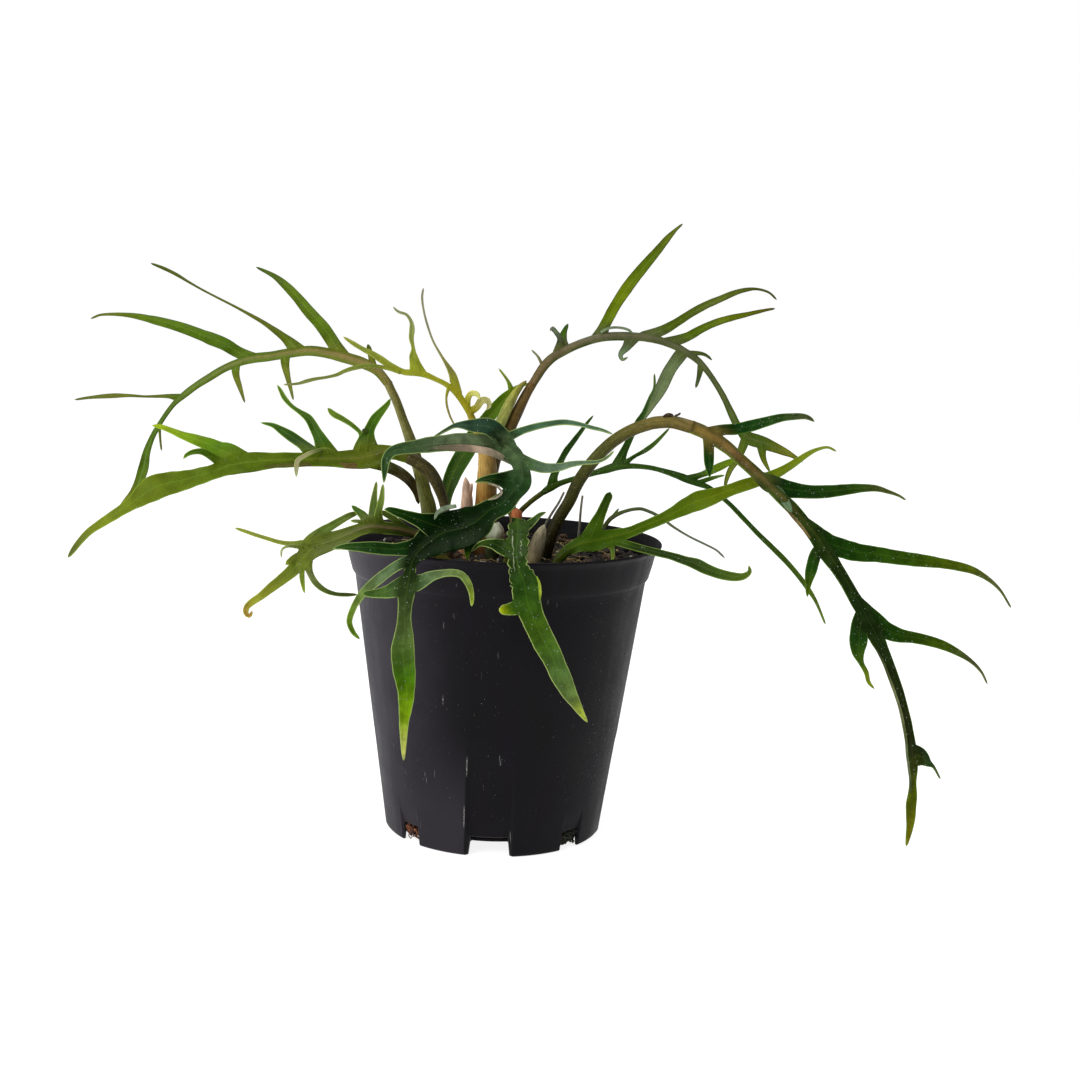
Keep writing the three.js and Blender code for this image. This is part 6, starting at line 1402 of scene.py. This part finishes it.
# Loose bits on the soil: how many, their least and greatest size, how flat they are, their colours,
# and how far from the axis they lie.
SOIL_BITS = {
    "soil_bark": (420, (0.9, 2.6), 0.45, BARK, 51.0),
    "soil_crumbs": (500, (0.35, 0.9), 0.7, BARK + " " + BRIGHT, 51.5),
    "soil_perlite": (60, (0.6, 1.4), 0.8, "c9c6bb d8d6cc b4b0a2", 50.0),
}
for bits, (count, *measures) in SOIL_BITS.items():
    make_piece(bits, crumbs(count, chance, *measures), BITS, "soil")
make_piece("soil_fibres", fibres(110, chance, 50.0), BITS, "soil")

# The second tip of the dry sheath, against the stem.
FLAP = [(-14.6, 121.5, -2.5, 1.2), (-13.2, 125.5, -2.5, 2.6), (-11.8, 130.2, -2.5, 0.9)]
# Each shoot: its colour codes from the soil up, its skin and slot, and how much its right is darker, a
# painted shade.
SHOOT_LOOKS = {
    "stem": ("2c1c0a 3c280e 84541a ac7c32 bc9850 b8944c", STEM_SKIN, "stem", 0.55),
    "sheath": ("9c6c48 bc8a64 d0a080 d8b498 ccaa90", DRY_SKIN, "dry", 0.1),
    "stub": ("a05c34 ac5a30 ac5830 b4683c", STEM_SKIN, "stem", 0.2),
    "bract": ("242810 242810 242810 2a3016 2a3016 343c1c 4c5430 a8ac90 bcc0a8 bcc0a8",
              DRY_SKIN, "dry", 0.1),
    "cataphyll": ("6c5c3c 9c8c68 aca080 b0a888", DRY_SKIN, "dry", 0.35),
    "thread_left": ("8b8777 8b8777", DRY_SKIN, "dry", 0.2),
    "thread_right": ("8b8777 8b8777", DRY_SKIN, "dry", 0.2),
}
for shoot, (codes, skin, slot, shade) in SHOOT_LOOKS.items():
    rows = SHOOTS[shoot]
    parts = [stalk(rows, codes, chance, 0.05, blunt_end=2.0 if rows[0][3] > 2 else 0, shade=shade)]
    if shoot == "sheath":
        parts.append(stalk(FLAP, "bc8a64 d0a080 dcc0a8", chance, lumps=0.1, blunt_start=0.5,
                           blunt_end=0.5, shade=0.1))
    make_piece(shoot + "_fine", parts, skin, slot, shoot)

LEAF_SKINS = {"leaf_d": DARK, "leaf_g": DARK, "leaf_k": DARK, "leaf_j": YOUNG, "leaf_h": YOUNG}
# How many drops of dew stand on each leaf, on the leaves that aren't named, and their sizes.
DEW_COUNTS = {"leaf_d": 280, "leaf_g": 380, "leaf_k": 110, "leaf_i": 130, "leaf_b": 30, "leaf_h": 30,
              "leaf_c": 20, "leaf_l": 30}
FEW_DROPS, DEW_SIZES = 10, (0.09, 0.25)
# The pale sheath that wraps the left of leaf F's stalk, and the dry scales on leaf G's arch.
SHEATH_F = [(-5, 145.6, 8.6, 3.6), (-3.3, 149.8, 8, 4.4), (-0.9, 155.4, 8.4, 4.1), (1.9, 162, 9.4, 3.5),
            (4.5, 166.1, 10.6, 2.4), (7.2, 169, 11.6, 0.8)]
SCALES_G = [[(58.2, 157.4, -28.2, 0.8), (60.2, 158.3, -28.4, 1.3), (62.2, 158, -28.6, 0.8)],
            [(62.4, 157.9, -28.8, 0.6), (63.9, 158.5, -28.9, 0.6), (64.7, 159.2, -29, 0.5)]]
drops = []
for name, leaf in LEAVES.items():
    skin, slot = LEAF_SKINS.get(name, LIGHT)
    parts = leaf_parts(name, leaf, LOOKS[name])
    make_piece(name + "_blade_fine", parts, skin, slot, name + "_blade")
    # Every leaf stalk takes the default painted shade on its right side.
    stems = [stalk(leaf["stalk"], LOOKS[name]["stalk"], chance)]
    if name == "leaf_f":
        stems.append(stalk(SHEATH_F, "7c8440 98a04c a4a854 94943c 70682c", chance, lumps=0.06,
                           blunt_start=2.0, blunt_end=1.0))
    if name == "leaf_g":
        stems += [stalk(rows, "24180c 34240f 24180c", chance, lumps=0.1, blunt_start=0.6,
                        blunt_end=0.6) for rows in SCALES_G]
    make_piece(name + "_stalk_fine", stems, STALK_SKIN, "stalk", name + "_stalk")
    drops += dew(parts, DEW_COUNTS.get(name, FEW_DROPS), chance, DEW_SIZES)
make_piece("dew", drops, DEW, None)
make_piece("spray", pot_drops(420, chance), DEW, None)
# Roots at two notches: how many, the angle, their least and greatest radius, and their colours.
ROOTS = {"roots_left": (26, -135, (0.2, 0.42), "5c2f1a 7a4426 945c34 3c2012"),
         "roots_right": (34, -45, (0.2, 0.45), "14100a 241c12 1c2410 2c2c18")}
for roots, (count, *measures) in ROOTS.items():
    make_piece(roots, notch_roots(count, chance, *measures), BITS, "soil")


def stage_surface(name, corners, colour, glow):
    """A plain sheet through four corners, in metres, that also gives off a little of its own light."""
    mesh = bpy.data.meshes.new(name)
    mesh.from_pydata(corners, [], [(0, 1, 2, 3)])
    material, tree, shader = start_finish(name)
    put(tree, shader, Base_Color=plain_colour(colour), Roughness=0.9, Emission_Strength=glow,
        Emission_Color=(1.0, 1.0, 1.0, 1.0))
    mesh.materials.append(material)
    sheet = bpy.data.objects.new(name, mesh)
    bpy.context.scene.collection.objects.link(sheet)


def soft_light(name, place, target, size, power):
    """A square light that faces a target from a place, in metres."""
    data = bpy.data.lights.new(name, "AREA")
    data.energy, data.size = power, size
    lamp = bpy.data.objects.new(name, data)
    ahead = unit(np.subtract(target, place)[None])[0]
    side = unit(np.cross(ahead, [0, 0, 1])[None])[0]
    rows = np.column_stack([side, np.cross(side, ahead), -ahead])
    lamp.matrix_world = Matrix([[*row, where] for row, where in zip(rows.tolist(), place)] + [[0, 0, 0, 1]])
    bpy.context.scene.collection.objects.link(lamp)


# The white floor, in metres: half its width, and its level just under the pot's foot.
FLOOR_HALF, FLOOR_LEVEL = 6, -0.0004
stage_surface("floor", [(FLOOR_HALF * x, FLOOR_HALF * y, FLOOR_LEVEL)
                        for x, y in ((-1, -1), (1, -1), (1, 1), (-1, 1))], "b4b4b4", 0.86)
soft_light("key", (-0.9, -1.1, 1.2), (0, 0, 0.1), 0.9, 15)
soft_light("fill", (1.1, -0.9, 0.7), (0, 0, 0.1), 1.0, 1.3)
soft_light("top", (0.1, 0.5, 1.5), (0, 0, 0.1), 0.9, 8)
soft_light("left", (-1.3, -0.4, 0.32), (0, 0, 0.06), 0.8, 9)

# The background is plain white to the camera, and lights the plant less strongly than that.
world = bpy.data.worlds.new("studio")
world.use_nodes = True
sky = world.node_tree.nodes["Background"]
straight = add(world.node_tree, "LightPath").outputs["Is Camera Ray"]
put(world.node_tree, sky, Color=(1.0, 1.0, 1.0, 1.0),
    Strength=between(world.node_tree, straight, 0.0, 1.0, 0.3, 1.0))
bpy.context.scene.world = world
bpy.context.scene.view_settings.view_transform = "Standard"

# The photograph's camera: its sensor and lens in millimetres, and how far it looks down and rolls,
# in degrees.
SENSOR, LENS, LOOKS_DOWN, ROLL = 36.0, 49.33, 8.47, 2.1
lens = bpy.data.cameras.new("photo_view")
lens.sensor_width, lens.lens = SENSOR, LENS
lens.clip_start, lens.clip_end = 0.01, 50
camera = bpy.data.objects.new("photo_view", lens)
camera.matrix_world = (Matrix.Translation([value * MM for value in EYE])
                       @ Matrix.Rotation(math.radians(90 - LOOKS_DOWN), 4, "X")
                       @ Matrix.Rotation(math.radians(ROLL), 4, "Z"))
bpy.context.scene.collection.objects.link(camera)
bpy.context.scene.camera = camera
